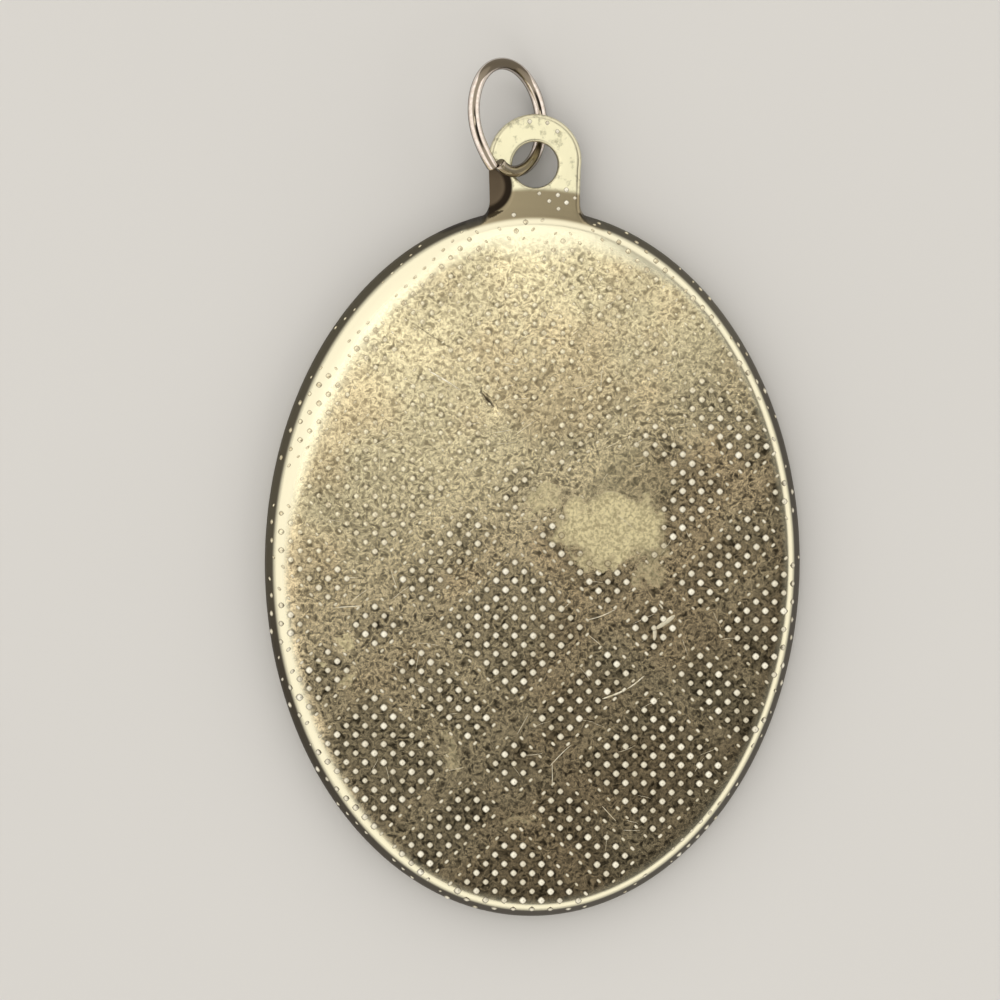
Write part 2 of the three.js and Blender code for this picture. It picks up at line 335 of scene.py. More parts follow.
# %% Grooves in the panel
GROOVES = [
    # name, start x, start y, end x, end y, half width, depth, darkening
    ("nick", -3.12, 5.69, -2.44, 4.90, 0.16, 0.055, 1.0),
    ("long scratch", -7.61, 10.06, -4.81, 8.20, 0.04, 0.012, 0.35),
]
GROOVE_ROWS = [-1.4, -1.0, -0.5, 0, 0.5, 1.0, 1.4]       # in half widths
GROOVE_STATIONS = 20
GROOVE_END = 0.3              # share of its width that a groove has at its ends
WIDEST_LATE = 1.5             # above 1, a groove is widest past half way


def groove_points():
    """Rows of points along each groove and a little beyond it."""
    rows = []
    for _, x0, y0, x1, y1, half_width, *_ in GROOVES:
        start = np.array([x0, y0])
        step = np.array([x1, y1]) - start
        sideways = np.array([-step[1], step[0]]) / np.linalg.norm(step)
        for share in np.linspace(-0.1, 1.1, GROOVE_STATIONS):
            rows += [start + step * share + sideways * row * half_width for row in GROOVE_ROWS]
    return np.array(rows)


def in_groove(points, x0, y0, x1, y1, half_width):
    """1 along the middle of a groove, falling to 0 at its sides."""
    start = np.array([x0, y0])
    step = np.array([x1, y1]) - start
    share = np.clip(((points - start) @ step) / (step @ step), 0, 1)
    gap = np.linalg.norm(points - start - share[:, None] * step, axis=1)
    narrowing = GROOVE_END + (1 - GROOVE_END) * np.sin(math.pi * share ** WIDEST_LATE)
    return np.clip(1 - (gap / half_width / narrowing) ** 2, 0, 1)


def groove_depth(points):
    return sum(depth * in_groove(points, *line) for _, *line, depth, _ in GROOVES)


def groove_darkening(points):
    return np.max([darkening * in_groove(points, *line) for _, *line, _, darkening in GROOVES], axis=0)


print("points for the grooves:", len(groove_points()))

# %% Height of the whole back, and of the underside
NECK_BLEND = 0.09             # rounding where the neck meets the shoulder
NECK_BELOW = 5.0              # the neck reaches no further down than this from the oval's top
NECK_UNDER_IN = 0.3           # and its underside no further in than this
OUT_OF_THE_WAY = 9.0          # a height above everything
ON_OVAL = -1e-3               # least inset that counts as on the oval


def back_height(points):
    inset = oval_inset(points[:, 0], points[:, 1])
    on_oval = inset > ON_OVAL
    oval = np.where(on_oval, oval_back(np.maximum(inset, 0), crown_share(points)), 0)
    height = oval - groove_depth(points)
    near = points[:, 1] > OVAL_TOP - NECK_BELOW
    near &= np.abs(points[:, 0]) < NECK_HALF + 2 * FLARE_RADIUS
    if near.any():
        neck = neck_back(points[near], inset[near])
        height[near] = np.where(on_oval[near], soft_max(height[near], neck, NECK_BLEND), neck)
    return height


def front_height(points):
    inset = oval_inset(points[:, 0], points[:, 1])
    in_foot = distance_inside(points, FOOT_LINE)
    under_edge = EAR_BOTTOM + rounded_drop(np.maximum(in_foot, 0), UNDER_ROUND)
    neck = np.where(inset < NECK_UNDER_IN, under_edge + lip_drop(points), OUT_OF_THE_WAY)
    return np.minimum(oval_front(inset), neck)


print("height at the oval's centre:", back_height(np.array([[0.0, OVAL_Y]])).round(3))

# %% [markdown]
# The outline is one closed line: the oval, broken where the neck leaves it, and the ear. The hole
# is a second closed line. Both skins use the very same points on these lines, so the wall between
# them closes without a gap.

# %% Outline and hole as closed lines
OVAL_STEPS = 440
HOLE_STEPS = 96
OUTLINE_SPACING = 0.1
CLEAR_OF_OVAL = 0.01          # the neck's line starts this far outside the oval


def turn_of(point):
    """The angle at which the oval's line passes a point."""
    return math.atan2((point[1] - OVAL_Y) / HALF_LENGTH, point[0] / HALF_WIDTH)


neck_line = neck_outline(WALL_FOOT, OUTLINE_SPACING)
outside = np.flatnonzero(oval_inset(neck_line[:, 0], neck_line[:, 1]) < -CLEAR_OF_OVAL)
neck_line = neck_line[outside[0]:outside[-1] + 1]
sweep = np.linspace(turn_of(neck_line[-1]), turn_of(neck_line[0]) + 2 * math.pi, OVAL_STEPS)
outline = np.vstack([neck_line, oval_ring(0, sweep)])
hole_turns = np.linspace(0, 2 * math.pi, HOLE_STEPS, endpoint=False)
hole_line = circle_points(HOLE_PLACE, HOLE_RADIUS, hole_turns)
print("outline points:", len(outline), "hole points:", len(hole_line))

# %% Points inside, dense where the metal bends
CREST_FROM = 0.42             # between these insets the points follow the oval on the neck too
CREST_TO = 1.2
CREST_INSETS = np.arange(0.43, 1.24, 0.045)
CREST_TURNS = np.linspace(math.radians(75), math.radians(105), 120)
CREST_HALF = HALF_WIDTH * math.cos(CREST_TURNS[0])
RINGS_BELOW = 3.0             # how far below the oval's top the neck can cut the outer rings
RINGS_CLEAR = 0.3             # and how far outside the neck's line they stop
FIELD_HALF = 5.5              # half width of the field of points on the neck and ear
FIELD_BELOW = 2.6             # how far it reaches down from the oval's top
FIELD_SPACING = 0.085
FIELD_OUT = 0.25              # how far it may reach over the neck's line, on the shoulder
FIELD_ON_OVAL = 0.3           # nearer to the oval than this, being inside the oval counts too
FIELD_CLEAR = 0.05            # gap that it keeps to the crest's rows
FINE_BOX = (-4.4, -1.0, 15.0, 19.2)       # least and greatest x, then y, of the finest points
FINE_SPACING = 0.045
ROW_GAP = 0.03                # least gap between the field and the rows along an edge


def grid_points(x0, x1, y0, y1, spacing):
    across, along = np.meshgrid(np.arange(x0, x1, spacing), np.arange(y0, y1, spacing))
    return np.column_stack([across.ravel(), along.ravel()])


def offset_line(line, gap):
    """A copy of an open line, moved in to its left by a gap."""
    step = np.gradient(line, axis=0)
    step /= np.hypot(step[:, 0], step[:, 1])[:, None]
    return line + gap * np.column_stack([-step[:, 1], step[:, 0]])


def ring_points(insets):
    """Rings along the oval's edge. By the neck, closer rows along the crest take their place."""
    rings = np.vstack([oval_ring(inset, sweep) for inset in insets])
    ring_insets = np.repeat(insets, len(sweep))
    x, y = rings.T
    by_neck = (y > OVAL_Y) & (np.abs(x) < CREST_HALF) & (ring_insets < CREST_TO)
    outer = (y > OVAL_TOP - RINGS_BELOW) & (ring_insets < CREST_FROM) & ~by_neck
    by_neck[outer] = distance_inside(rings[outer], FOOT_LINE) > -RINGS_CLEAR
    crest = [oval_ring(inset, CREST_TURNS) for inset in CREST_INSETS]
    return np.vstack([rings[~by_neck], *crest])


def field_points(edge_gap, hole_gap, fine_hollow):
    """A fine field on the neck and ear, clear of the rows along their edges."""
    field = grid_points(
        -FIELD_HALF, FIELD_HALF, OVAL_TOP - FIELD_BELOW, EAR_Y + EAR_RADIUS, FIELD_SPACING)
    if fine_hollow:
        x0, x1, y0, y1 = FINE_BOX
        x, y = field.T
        in_box = (x > x0) & (x < x1) & (y > y0) & (y < y1)
        field = np.vstack([field[~in_box], grid_points(*FINE_BOX, FINE_SPACING)])
    inset = oval_inset(field[:, 0], field[:, 1])
    in_neck = distance_inside(field, FOOT_LINE)
    from_outline = np.where(inset > -FIELD_ON_OVAL, np.maximum(in_neck, inset), in_neck)
    good = (in_neck > -FIELD_OUT) & (inset < CREST_FROM - FIELD_CLEAR)
    good &= (from_outline > edge_gap + ROW_GAP) & (outside_hole(field) > hole_gap + ROW_GAP)
    return field[good]


def inner_points(oval_insets, edge_gaps, hole_gaps, panel_spacing, fine_hollow):
    """Every point of one skin inside its outline."""
    field = field_points(max(edge_gaps), max(hole_gaps), fine_hollow)
    holes = [circle_points(HOLE_PLACE, HOLE_RADIUS + gap, hole_turns) for gap in hole_gaps]
    edges = [offset_line(neck_line, gap) for gap in edge_gaps]
    panel = grid_points(-HALF_WIDTH, HALF_WIDTH, OVAL_Y - HALF_LENGTH, OVAL_TOP, panel_spacing)
    in_rings = oval_inset(panel[:, 0], panel[:, 1]) > max(oval_insets) + panel_spacing / 2
    return np.vstack([ring_points(oval_insets), field, *holes, *edges, panel[in_rings]])


# These rows lie closest together where the shoulder, the rim or a rounded edge bends.
BACK_INSETS = [0.14, 0.28, 0.4, 0.45, 0.5, 0.55, 0.61, 0.68, 0.76, 0.85, 0.95, 1.05, 1.25, 1.5, 1.8, 2.2]
FRONT_INSETS = [0.12, 0.25, 0.28, 0.8, 1.32, 1.35, 1.45, 1.6, 1.7, 1.75, 2.2]
HOLE_GAPS = [0.03, 0.07, 0.11, 0.15]
BACK_EDGE_GAPS = [0.03, 0.07, 0.12, 0.18, 0.25, 0.33]
FRONT_EDGE_GAPS = [0.04, 0.08, 0.13, 0.2]
back_inner = inner_points(BACK_INSETS, BACK_EDGE_GAPS, HOLE_GAPS, panel_spacing=0.7, fine_hollow=True)
front_inner = inner_points(FRONT_INSETS, FRONT_EDGE_GAPS, HOLE_GAPS, panel_spacing=1.5, fine_hollow=False)
print("points inside the back:", len(back_inner), "and the front:", len(front_inner))

# %% Join the points into a skin
def skin(points, height):
    """Triangles over the outline, lifted to their height, with the ids of the two lines."""
    coords = np.vstack([outline, hole_line, points])
    n_out, n_hole = len(outline), len(hole_line)
    edges = [(k, (k + 1) % n_out) for k in range(n_out)]
    edges += [(n_out + k, n_out + (k + 1) % n_hole) for k in range(n_hole)]
    flat, _, faces, sources, _, _ = delaunay_2d_cdt(
        [Vector(c) for c in coords], edges, [], 0, 1e-5, True)
    corners = np.array([tuple(v) for v in flat])
    triangles = np.array(faces)
    centres = corners[triangles].mean(axis=1)
    keep = inside_polygon(centres, outline) & ~inside_polygon(centres, hole_line)
    new_id = {old: new for new, olds in enumerate(sources) for old in olds}
    line_ids = [[new_id[k] for k in range(n_out)], [new_id[n_out + k] for k in range(n_hole)]]
    lifted = np.column_stack([corners, height(corners)])
    return lifted, triangles[keep], line_ids


def close_body(back, front):
    """One closed body from the back skin, the underside and the walls between them."""
    back_points, back_faces, back_lines = back
    front_points, front_faces, front_lines = front
    shift = len(back_points)
    points = np.vstack([back_points, front_points])
    faces = [tuple(f) for f in back_faces]
    faces += [(a + shift, c + shift, b + shift) for a, b, c in front_faces]
    for line, (upper, lower) in enumerate(zip(back_lines, front_lines)):
        count = len(upper)
        for k in range(count):
            a, b = upper[k], upper[(k + 1) % count]
            c, d = lower[(k + 1) % count] + shift, lower[k] + shift
            faces.append((b, a, d, c) if line == 0 else (a, b, c, d))
    return points, faces


def used_only(points, faces):
    """Drops corners that no face uses."""
    used = sorted({k for face in faces for k in face})
    new_id = {old: new for new, old in enumerate(used)}
    return points[used], [tuple(new_id[k] for k in face) for face in faces]


back_skin = skin(np.vstack([back_inner, groove_points()]), back_height)
front_skin = skin(front_inner, front_height)
body_points, body_faces = used_only(*close_body(back_skin, front_skin))
print("medal skin:", len(body_points), "corners,", len(body_faces), "faces")

# %% Make the medal's object
def new_piece(name, points, faces, smooth_angle=None):
    """A mesh object at the origin, from points in millimetres."""
    mesh = bpy.data.meshes.new(name)
    mesh.from_pydata((np.asarray(points) * MM).tolist(), [], [tuple(int(k) for k in f) for f in faces])
    mesh.validate()
    for polygon in mesh.polygons:
        polygon.use_smooth = True
    if smooth_angle:
        mesh.set_sharp_from_angle(angle=math.radians(smooth_angle))
    piece = bpy.data.objects.new(name, mesh)
    bpy.context.scene.collection.objects.link(piece)
    return piece


medal = new_piece("medal_back_and_ear", body_points, body_faces, smooth_angle=38)
print("medal object:", len(medal.data.polygons), "faces")

# %% [markdown]
# The leaning side is darkened, partly by tarnish and partly as a painted dark reflection of the
# dim surroundings that it faces. The hollow, the grooves and the underside are darkened too. The
# fine grain fades out towards the shoulder, where the metal is rubbed bare; on the upper left the
# bare tone reaches further in, partly as a painted highlight. Such shares are stored on the mesh's
# corners, because they follow the form, and the material reads them.

# %% Where the metal is darkened, and where it is grained
BACK_FROM = EDGE_TOP - 0.02   # corners above this height are the back's,
EAR_BACK_FROM = EAR_BOTTOM + 0.15         # or above this one on the neck and ear
SLACK = 0.01                  # mm, how far outside the oval still counts as on it
UNDERSIDE_TARNISH = 0.75
UNDERSIDE_GRAIN = 0.3
SIDE_ENDS = (0.40, 0.56)      # insets between which the side's tarnish and painted dark reflection end
SIDE_HIGHEST = 2.12           # the height that it never passes,
SIDE_OUT = 0.05               # and how far outside the oval it may reach
HOLLOW_STARTS = (0.0, 0.12)   # how far inside the hollow its wall turns dark
HOLLOW_FLOOR_STARTS = (0.38, 0.6)
HOLLOW_TO = 0.4               # the hollow's dark tone ends at this inset
HOLLOW_FROM_Y = 15.0
NECK_STARTS = (-2.6, -2.0)    # insets between which the painted shade of the neck's slope sets in
NECK_ENDS = (0.45, 0.7)
NECK_CLIMB = (0.005, 0.03)    # and the height above the ear's face from which it does
NECK_TONE_HALF = 4.0
NECK_TONE_FROM_Y = 14.6
EAR_ENDS = (-0.4, 0.2)        # insets between which the ear's bare tone ends
# On this smoother stretch the bright bare tone reaches further in: partly smoother metal, partly a
# painted highlight.
SMOOTH_UP = (-5, 5)           # a smoother stretch lies above the middle,
SMOOTH_LEFT = (-2, 10)        # and to the left of a line
SMOOTH_LEAN = 1.5             # that leans this much
GRAIN_IN = 0.72               # inset where the grain sets in,
GRAIN_IN_CROWN = 0.25         # more by this where the edge is crowned,
GRAIN_IN_SMOOTH = 0.22        # and by this where the metal is smoother
GRAIN_FADE = 0.45             # the width over which it sets in,
GRAIN_FADE_SMOOTH = 0.95      # and how much wider that is where the metal is smoother


def store(piece, name, values):
    attribute = piece.data.attributes.new(name, "FLOAT", "POINT")
    attribute.data.foreach_set("value", np.asarray(values, dtype=np.float32))


corners = np.array([v.co for v in medal.data.vertices]) / MM
flat_corners = corners[:, :2]
x, y, z = corners.T
inset = oval_inset(x, y)
on_back = z > np.where(inset > -SLACK, BACK_FROM, EAR_BACK_FROM)
side = (1 - step_up(inset, *SIDE_ENDS)) * (inset > -SIDE_OUT) * (z < SIDE_HIGHEST)
in_hollow = step_up(inside_hollow(flat_corners), *HOLLOW_STARTS) * (inset < HOLLOW_TO)
in_hollow *= (y > HOLLOW_FROM_Y) * (x < 0)
deepest = np.maximum(in_hollow, groove_darkening(flat_corners))
darkening = np.where(on_back, np.maximum(side, deepest), UNDERSIDE_TARNISH)
hollow_floor = step_up(inside_hollow(flat_corners), *HOLLOW_FLOOR_STARTS) * in_hollow
# Painted shade on the neck's slope, where it climbs from the ear's face.
neck_slope_shade = step_up(inset, *NECK_STARTS) * (1 - step_up(inset, *NECK_ENDS))
neck_slope_shade *= (y > NECK_TONE_FROM_Y) & (np.abs(x) < NECK_TONE_HALF) & on_back
neck_slope_shade *= step_up(neck_face(inset), EAR_TOP + NECK_CLIMB[0], EAR_TOP + NECK_CLIMB[1])
smooth = step_up(y, *SMOOTH_UP) * step_up(y - SMOOTH_LEAN * x, *SMOOTH_LEFT)
grain_start = GRAIN_IN + GRAIN_IN_CROWN * crown_share(corners) + GRAIN_IN_SMOOTH * smooth
grain = step_up((inset - grain_start) / (GRAIN_FADE + GRAIN_FADE_SMOOTH * smooth), 0, 1)
store(medal, "darkening", darkening)
store(medal, "deepest", deepest)
store(medal, "hollow_floor", hollow_floor)
store(medal, "on_ear", 1 - step_up(inset, *EAR_ENDS))
store(medal, "neck_slope_shade", neck_slope_shade)
store(medal, "grained", np.where(on_back, grain, UNDERSIDE_GRAIN))
print("tarnished corners of the back:", int((on_back & (darkening > 0.5)).sum()))

# %% [markdown]
# The jump ring is a round wire, bent into a circle and cut once. Nobody closed it well: its two
# ends miss each other sideways. It leans on the floor and goes up through the ear's hole. A wire
# is a sweep: one small circle of corners at each station of the centre line, joined to the next.

# %% Sizes and directions of the ring
WIRE_RADIUS = 0.35
RING_RADIUS = 3.15            # to the middle of the wire
RING_CENTRE = np.array([-1.656, 21.691, 2.759])
RING_TILT = math.radians(48.5)
RING_TURN = math.radians(8)
JOINT_PLACE = math.radians(33)
JOINT_GAP = 0.2
JOINT_SPREAD = 0.32
JOINT_BEND = math.radians(35)
RING_STATIONS = 240
WIRE_SIDES = 28
END_ROUND = 0.07              # rounding of the two cut ends
END_ROWS = ((0.0, 1.0), (0.4, 0.3))       # shares of it: how far in, and how much thinner
IN_EAR_Y = (19.3, 19.9)       # the stretch in the ear's hole, which gets painted shade
IN_EAR_X = (-2.5, -2.1)
AT_TOP_Y = (23.6, 24.8)       # and the far end of the ring, where the crest's painted dark reflection is wider and darker

level_axis = np.array([math.sin(RING_TURN), -math.cos(RING_TURN), 0])
climb_axis = np.array([
    -math.cos(RING_TURN) * math.cos(RING_TILT),
    -math.sin(RING_TURN) * math.cos(RING_TILT),
    math.sin(RING_TILT),
])
ring_axis = np.cross(level_axis, climb_axis)
print("ring's axis:", ring_axis.round(3))

# %% Sweep the ring's wire
def ring_point(share):
    """Centre line of the wire, from one cut end (0) to the other (1)."""
    half_gap = JOINT_GAP / 2 / RING_RADIUS
    travelled = half_gap + share * 2 * (math.pi - half_gap)
    from_cut = min(travelled, 2 * math.pi - travelled)
    bend = max(0, 1 - from_cut / JOINT_BEND) ** 2
    offset = (1 if share < 0.5 else -1) * bend * JOINT_SPREAD / 2
    turn = JOINT_PLACE + travelled
    outward = level_axis * math.cos(turn) + climb_axis * math.sin(turn)
    return RING_CENTRE + outward * (RING_RADIUS + offset) + ring_axis * offset


def end_stations(place, inward):
    """The rows of a rounded cut end, outermost first: place and radius of each."""
    return [
        (place + inward * END_ROUND * step, WIRE_RADIUS - END_ROUND * thinner)
        for step, thinner in END_ROWS
    ]


def tube_faces(rows, sides):
    """Faces between rings of corners that follow each other."""
    faces = []
    for row in range(rows - 1):
        for k in range(sides):
            a = row * sides + k
            b = row * sides + (k + 1) % sides
            faces.append((a, b, b + sides, a + sides))
    return faces


def swept_wire():
    """Corners and faces of the wire, and how far each corner faces up."""
    line = np.array([ring_point(share) for share in np.linspace(0, 1, RING_STATIONS)])
    along = np.gradient(line, axis=0)
    along /= np.linalg.norm(along, axis=1)[:, None]
    stations = [(place, along[0], radius) for place, radius in end_stations(line[0], along[0])]
    stations += [(place, way, WIRE_RADIUS) for place, way in zip(line[1:-1], along[1:-1])]
    last_end = reversed(end_stations(line[-1], -along[-1]))
    stations += [(place, along[-1], radius) for place, radius in last_end]
    points = []
    facing_up = []
    for place, direction, radius in stations:
        upward = np.array([0, 0, 1]) - direction[2] * direction
        upward /= np.linalg.norm(upward)
        side = np.cross(direction, ring_axis)
        side /= np.linalg.norm(side)
        up = np.cross(side, direction)
        for turn in 2 * math.pi * np.arange(WIRE_SIDES) / WIRE_SIDES:
            outward = math.cos(turn) * side + math.sin(turn) * up
            points.append(place + radius * outward)
            facing_up.append(outward @ upward)
    faces = tube_faces(len(stations), WIRE_SIDES)
    faces.append(tuple(reversed(range(WIRE_SIDES))))
    faces.append(tuple(range(len(points) - WIRE_SIDES, len(points))))
    return np.array(points), faces, facing_up


def faces_outward(piece):
    """Turns a closed mesh's faces outwards."""
    body = bmesh.new()
    body.from_mesh(piece.data)
    bmesh.ops.recalc_face_normals(body, faces=body.faces)
    body.to_mesh(piece.data)
    body.free()


wire_points, wire_faces, facing_up = swept_wire()
ring = new_piece("jump_ring_wire", wire_points, wire_faces, smooth_angle=50)
faces_outward(ring)
in_ear = (1 - step_up(wire_points[:, 1], *IN_EAR_Y)) * step_up(wire_points[:, 0], *IN_EAR_X)
store(ring, "facing_up", facing_up)
store(ring, "in_ear", in_ear)
store(ring, "at_top", step_up(wire_points[:, 1], *AT_TOP_Y))
print("jump ring:", len(ring.data.polygons), "faces")

# %% [markdown]
# The whole back carries small raised pips, rolled in like the weave of a checked cloth. Along both
# diagonals the lines come in a steady beat: eight full lines, two narrow ones, three full, two
# narrow. Where two full lines cross there is a round pip, where one of them is narrow a thin dash.
# Geometry Nodes suit this well. The tree counts out the crossings, works out which are narrow,
# drops a ray from each onto the medal, and sets one small die shape there, turned to the surface.

# %% One pip, as a small die
PIP_SIDES = 8
PIP_SQUARENESS = 3            # 2 is round, more is squarer
PIP_PROFILE = [(1.12, -0.35), (1.0, -0.02), (0.74, 0.42), (0.38, 0.8)]   # radius, height
PIP_LIT = (0.0, 0.65)         # heights between which a pip's side goes from painted shade to its bright top


def pip_shape():
    """Rings of a rounded square that shrink towards one point at the top."""
    points = []
    for radius, height in PIP_PROFILE:
        for turn in 2 * math.pi * np.arange(PIP_SIDES) / PIP_SIDES:
            x, y = math.cos(turn), math.sin(turn)
            length = abs(x) ** PIP_SQUARENESS + abs(y) ** PIP_SQUARENESS
            reach = radius * length ** (-1 / PIP_SQUARENESS)
            points.append((reach * x, reach * y, height))
    top = len(points)
    points.append((0, 0, 1))
    last = top - PIP_SIDES
    faces = [tuple(reversed(range(PIP_SIDES)))] + tube_faces(len(PIP_PROFILE), PIP_SIDES)
    faces += [(last + k, last + (k + 1) % PIP_SIDES, top) for k in range(PIP_SIDES)]
    return np.array(points), faces


die_points, die_faces = pip_shape()
pip_die = new_piece("pip_die", die_points, die_faces)
store(pip_die, "pip_rise", step_up(die_points[:, 2], *PIP_LIT))
print("one pip:", len(die_faces), "faces")

# %% [markdown]
# Node trees are easier to read as sums than as lists of links. The few lines below let a node's
# output be added, subtracted, multiplied and divided with the usual signs. Each sign adds the
# math node that does it, so the trees are built just as they would be by hand.

# %% A short way to write node trees
class Flow:
    """A value that a node tree works out, with signs that add math nodes."""

    def __init__(self, tree, socket):
        self.tree = tree
        self.socket = socket

    def __add__(self, other):
        return calc("ADD", self, other)

    def __sub__(self, other):
        return calc("SUBTRACT", self, other)

    def __rsub__(self, other):
        return calc("SUBTRACT", other, self)

    def __mul__(self, other):
        return calc("MULTIPLY", self, other)

    def __truediv__(self, other):
        return calc("DIVIDE", self, other)


def node(tree, kind, values=None, **settings):
    """Adds a node, sets its properties, and fills or links its inputs."""
    new = tree.nodes.new(kind)
    for name, setting in settings.items():
        setattr(new, name, setting)
    for key, value in (values or {}).items():
        if isinstance(value, Flow):
            tree.links.new(value.socket, new.inputs[key])
        else:
            new.inputs[key].default_value = value
    return new


def flow(tree, kind, values=None, output=0, **settings):
    """One output of a new node."""
    return Flow(tree, node(tree, kind, values, **settings).outputs[output])


def calc(operation, *values):
    """A math node on numbers, of which at least one comes from a tree."""
    tree = next(value.tree for value in values if isinstance(value, Flow))
    return flow(tree, "ShaderNodeMath", dict(enumerate(values)), operation=operation)


def vector_calc(operation, first, *second):
    """A vector math node; the first value comes from a tree."""
    values = {0: first}
    for value in second:
        values[3 if operation == "SCALE" else 1] = value
    output = "Value" if operation in ("DOT_PRODUCT", "LENGTH") else "Vector"
    return flow(first.tree, "ShaderNodeVectorMath", values, output, operation=operation)


def ramp(value, low, high):
    """0 at low, 1 at high, smooth between; low may be the larger of the two."""
    values = {"Value": value, "From Min": low, "From Max": high}
    return flow(value.tree, "ShaderNodeMapRange", values, interpolation_type="SMOOTHSTEP")


def in_ellipse(place, middle, halves):
    """How far out a place lies in an ellipse: 0 in the middle, 1 on its line."""
    from_middle = vector_calc("SUBTRACT", place, (*middle, 0))
    stretched = vector_calc("MULTIPLY", from_middle, (1 / halves[0], 1 / halves[1], 0))
    return vector_calc("LENGTH", stretched)


print("node helpers:", node.__name__, flow.__name__, calc.__name__, ramp.__name__)

# %% [markdown]
# Hands have rubbed the upper left of the back smooth. The softbox's highlight falls there too, and
# the tones there are painted lighter and flatter: painted light on top of real wear. A few places
# were left pale and matte, as if something had lain on them. The pips and the metals both need to
# know where, so these two shares are written once and are built into each tree that asks for them.

# %% Where the back is worn and lit, and where it is pale and matte
WEAR_LEAN = 0.45              # the worn and lit part ends along a line that climbs this much to the right
WEAR_FULL = 10.0              # mm above that line through the oval's centre
WEAR_TOP = (16.0, 15.6)       # the ear isn't part of it
RAGGED = 4.2                  # mm that noise can pull a patch's edge to and fro, in all
PATCH_FADE = (1.3, 0.8)       # shares of a patch's half sizes between which it sets in
PALE_PATCHES = [
    # name, x, y, half width, half length, strength
    ("middle", 4.4, -2.1, 2.9, 1.85, 1.0),
    ("upper haze", 5.2, 0.5, 2.7, 1.8, 0.2),
    ("lower tongue", 3.7, -3.9, 1.2, 0.7, 0.8),
    ("right tongue", 6.9, -3.8, 0.9, 1.5, 0.42),
    ("left smear", 0.4, -0.3, 0.9, 0.7, 0.55),
    ("streak", -4.8, -15.5, 0.45, 1.2, 0.35),
    ("low streak", -1.0, -19.1, 1.1, 0.35, 0.3),
    ("flake by the edge", -11.1, -8.85, 0.42, 0.34, 0.75),
    ("second flake", -12.6, -10.0, 0.4, 0.3, 0.6),
    ("third flake", -10.7, -11.1, 0.35, 0.4, 0.5),
]
PATCHES_WITHOUT_PIPS = PALE_PATCHES[:2]


def wear_and_light_share(place):
    """1 at the upper left, where hands have rubbed the back smooth and its tones carry painted light, to
    0 at the lower right.
    """
    above_line = vector_calc("DOT_PRODUCT", place, (-WEAR_LEAN, 1, 0))
    height = vector_calc("DOT_PRODUCT", place, (0, 1, 0))
    return ramp(above_line, OVAL_Y, OVAL_Y + WEAR_FULL) * ramp(height, *WEAR_TOP)


def pale_share(place):
    """How much of the pale patches' matte tone a place has; their edges are ragged."""
    values = {"Vector": place, "Scale": 0.8, "Detail": 5.0, "Roughness": 0.68}
    noise_colour = flow(place.tree, "ShaderNodeTexNoise", values, "Color")
    pull = vector_calc("SCALE", vector_calc("SUBTRACT", noise_colour, (0.5, 0.5, 0.5)), RAGGED)
    moved = vector_calc("ADD", place, pull)
    share = 0.0
    for _, x, y, half_width, half_length, strength in PALE_PATCHES:
        inside = ramp(in_ellipse(moved, (x, y), (half_width, half_length)), *PATCH_FADE)
        share = calc("MAXIMUM", share, inside * strength)
    return share


print("pale patches:", len(PALE_PATCHES))

# %% The pip tree's named inputs
rolled_pips = bpy.data.node_groups.new("rolled_pips", "GeometryNodeTree")
PIP_INPUTS = [
    ("Geometry", "NodeSocketGeometry"),
    ("Medal", "NodeSocketObject"),
    ("Die", "NodeSocketObject"),
    ("Lines", "NodeSocketInt"),
    ("Start", "NodeSocketVector"),
    ("Step Down", "NodeSocketVector"),
    ("Step Up", "NodeSocketVector"),
    ("Narrow Shift", "NodeSocketFloat"),
    ("Pip Radius", "NodeSocketFloat"),
    ("Pip Height", "NodeSocketFloat"),
    ("Dash Width", "NodeSocketFloat"),
    ("Dash Length", "NodeSocketFloat"),
    ("Seed", "NodeSocketInt"),
    ("Metal", "NodeSocketMaterial"),
]
for name, kind in PIP_INPUTS:
    rolled_pips.interface.new_socket(name, in_out="INPUT", socket_type=kind)
rolled_pips.interface.new_socket("Geometry", in_out="OUTPUT", socket_type="NodeSocketGeometry")
group_input = node(rolled_pips, "NodeGroupInput")
given = {name: Flow(rolled_pips, group_input.outputs[name]) for name, _ in PIP_INPUTS}
print("inputs of the pip tree:", list(given))

# %% Count out the crossings of the plaid
BEAT = 15                     # lines before the plaid repeats
PAIR_EVERY = 5                # narrow lines come in pairs: 5 and 6, then 10 and 11
PLAID_START = (6.43, OVAL_Y - 11.74)          # a crossing of two full lines
PLAID_STEPS = ((0.544, -0.5445), (0.547, 0.529))


def pip_node(kind, values=None, output=0, **settings):
    return flow(rolled_pips, kind, values, output, **settings)


def plaid_line(line):
    """Where a line lies, in steps, and whether it is a narrow one."""
    beat = calc("FLOORED_MODULO", line, BEAT)
    in_pair = calc("FLOORED_MODULO", beat, PAIR_EVERY)
    after = calc("GREATER_THAN", beat, PAIR_EVERY - 0.5)
    before = calc("LESS_THAN", beat, 2 * PAIR_EVERY + 1.5)
    narrow = after * before * calc("LESS_THAN", in_pair, 1.5)
    side = in_pair * 2.0 - 1.0
    return line + side * narrow * given["Narrow Shift"], narrow


def stored(points, name, value):
    values = {"Geometry": points, "Name": name, "Value": value}
    return pip_node("GeometryNodeStoreNamedAttribute", values)


def read_back(name):
    return pip_node("GeometryNodeInputNamedAttribute", {"Name": name})


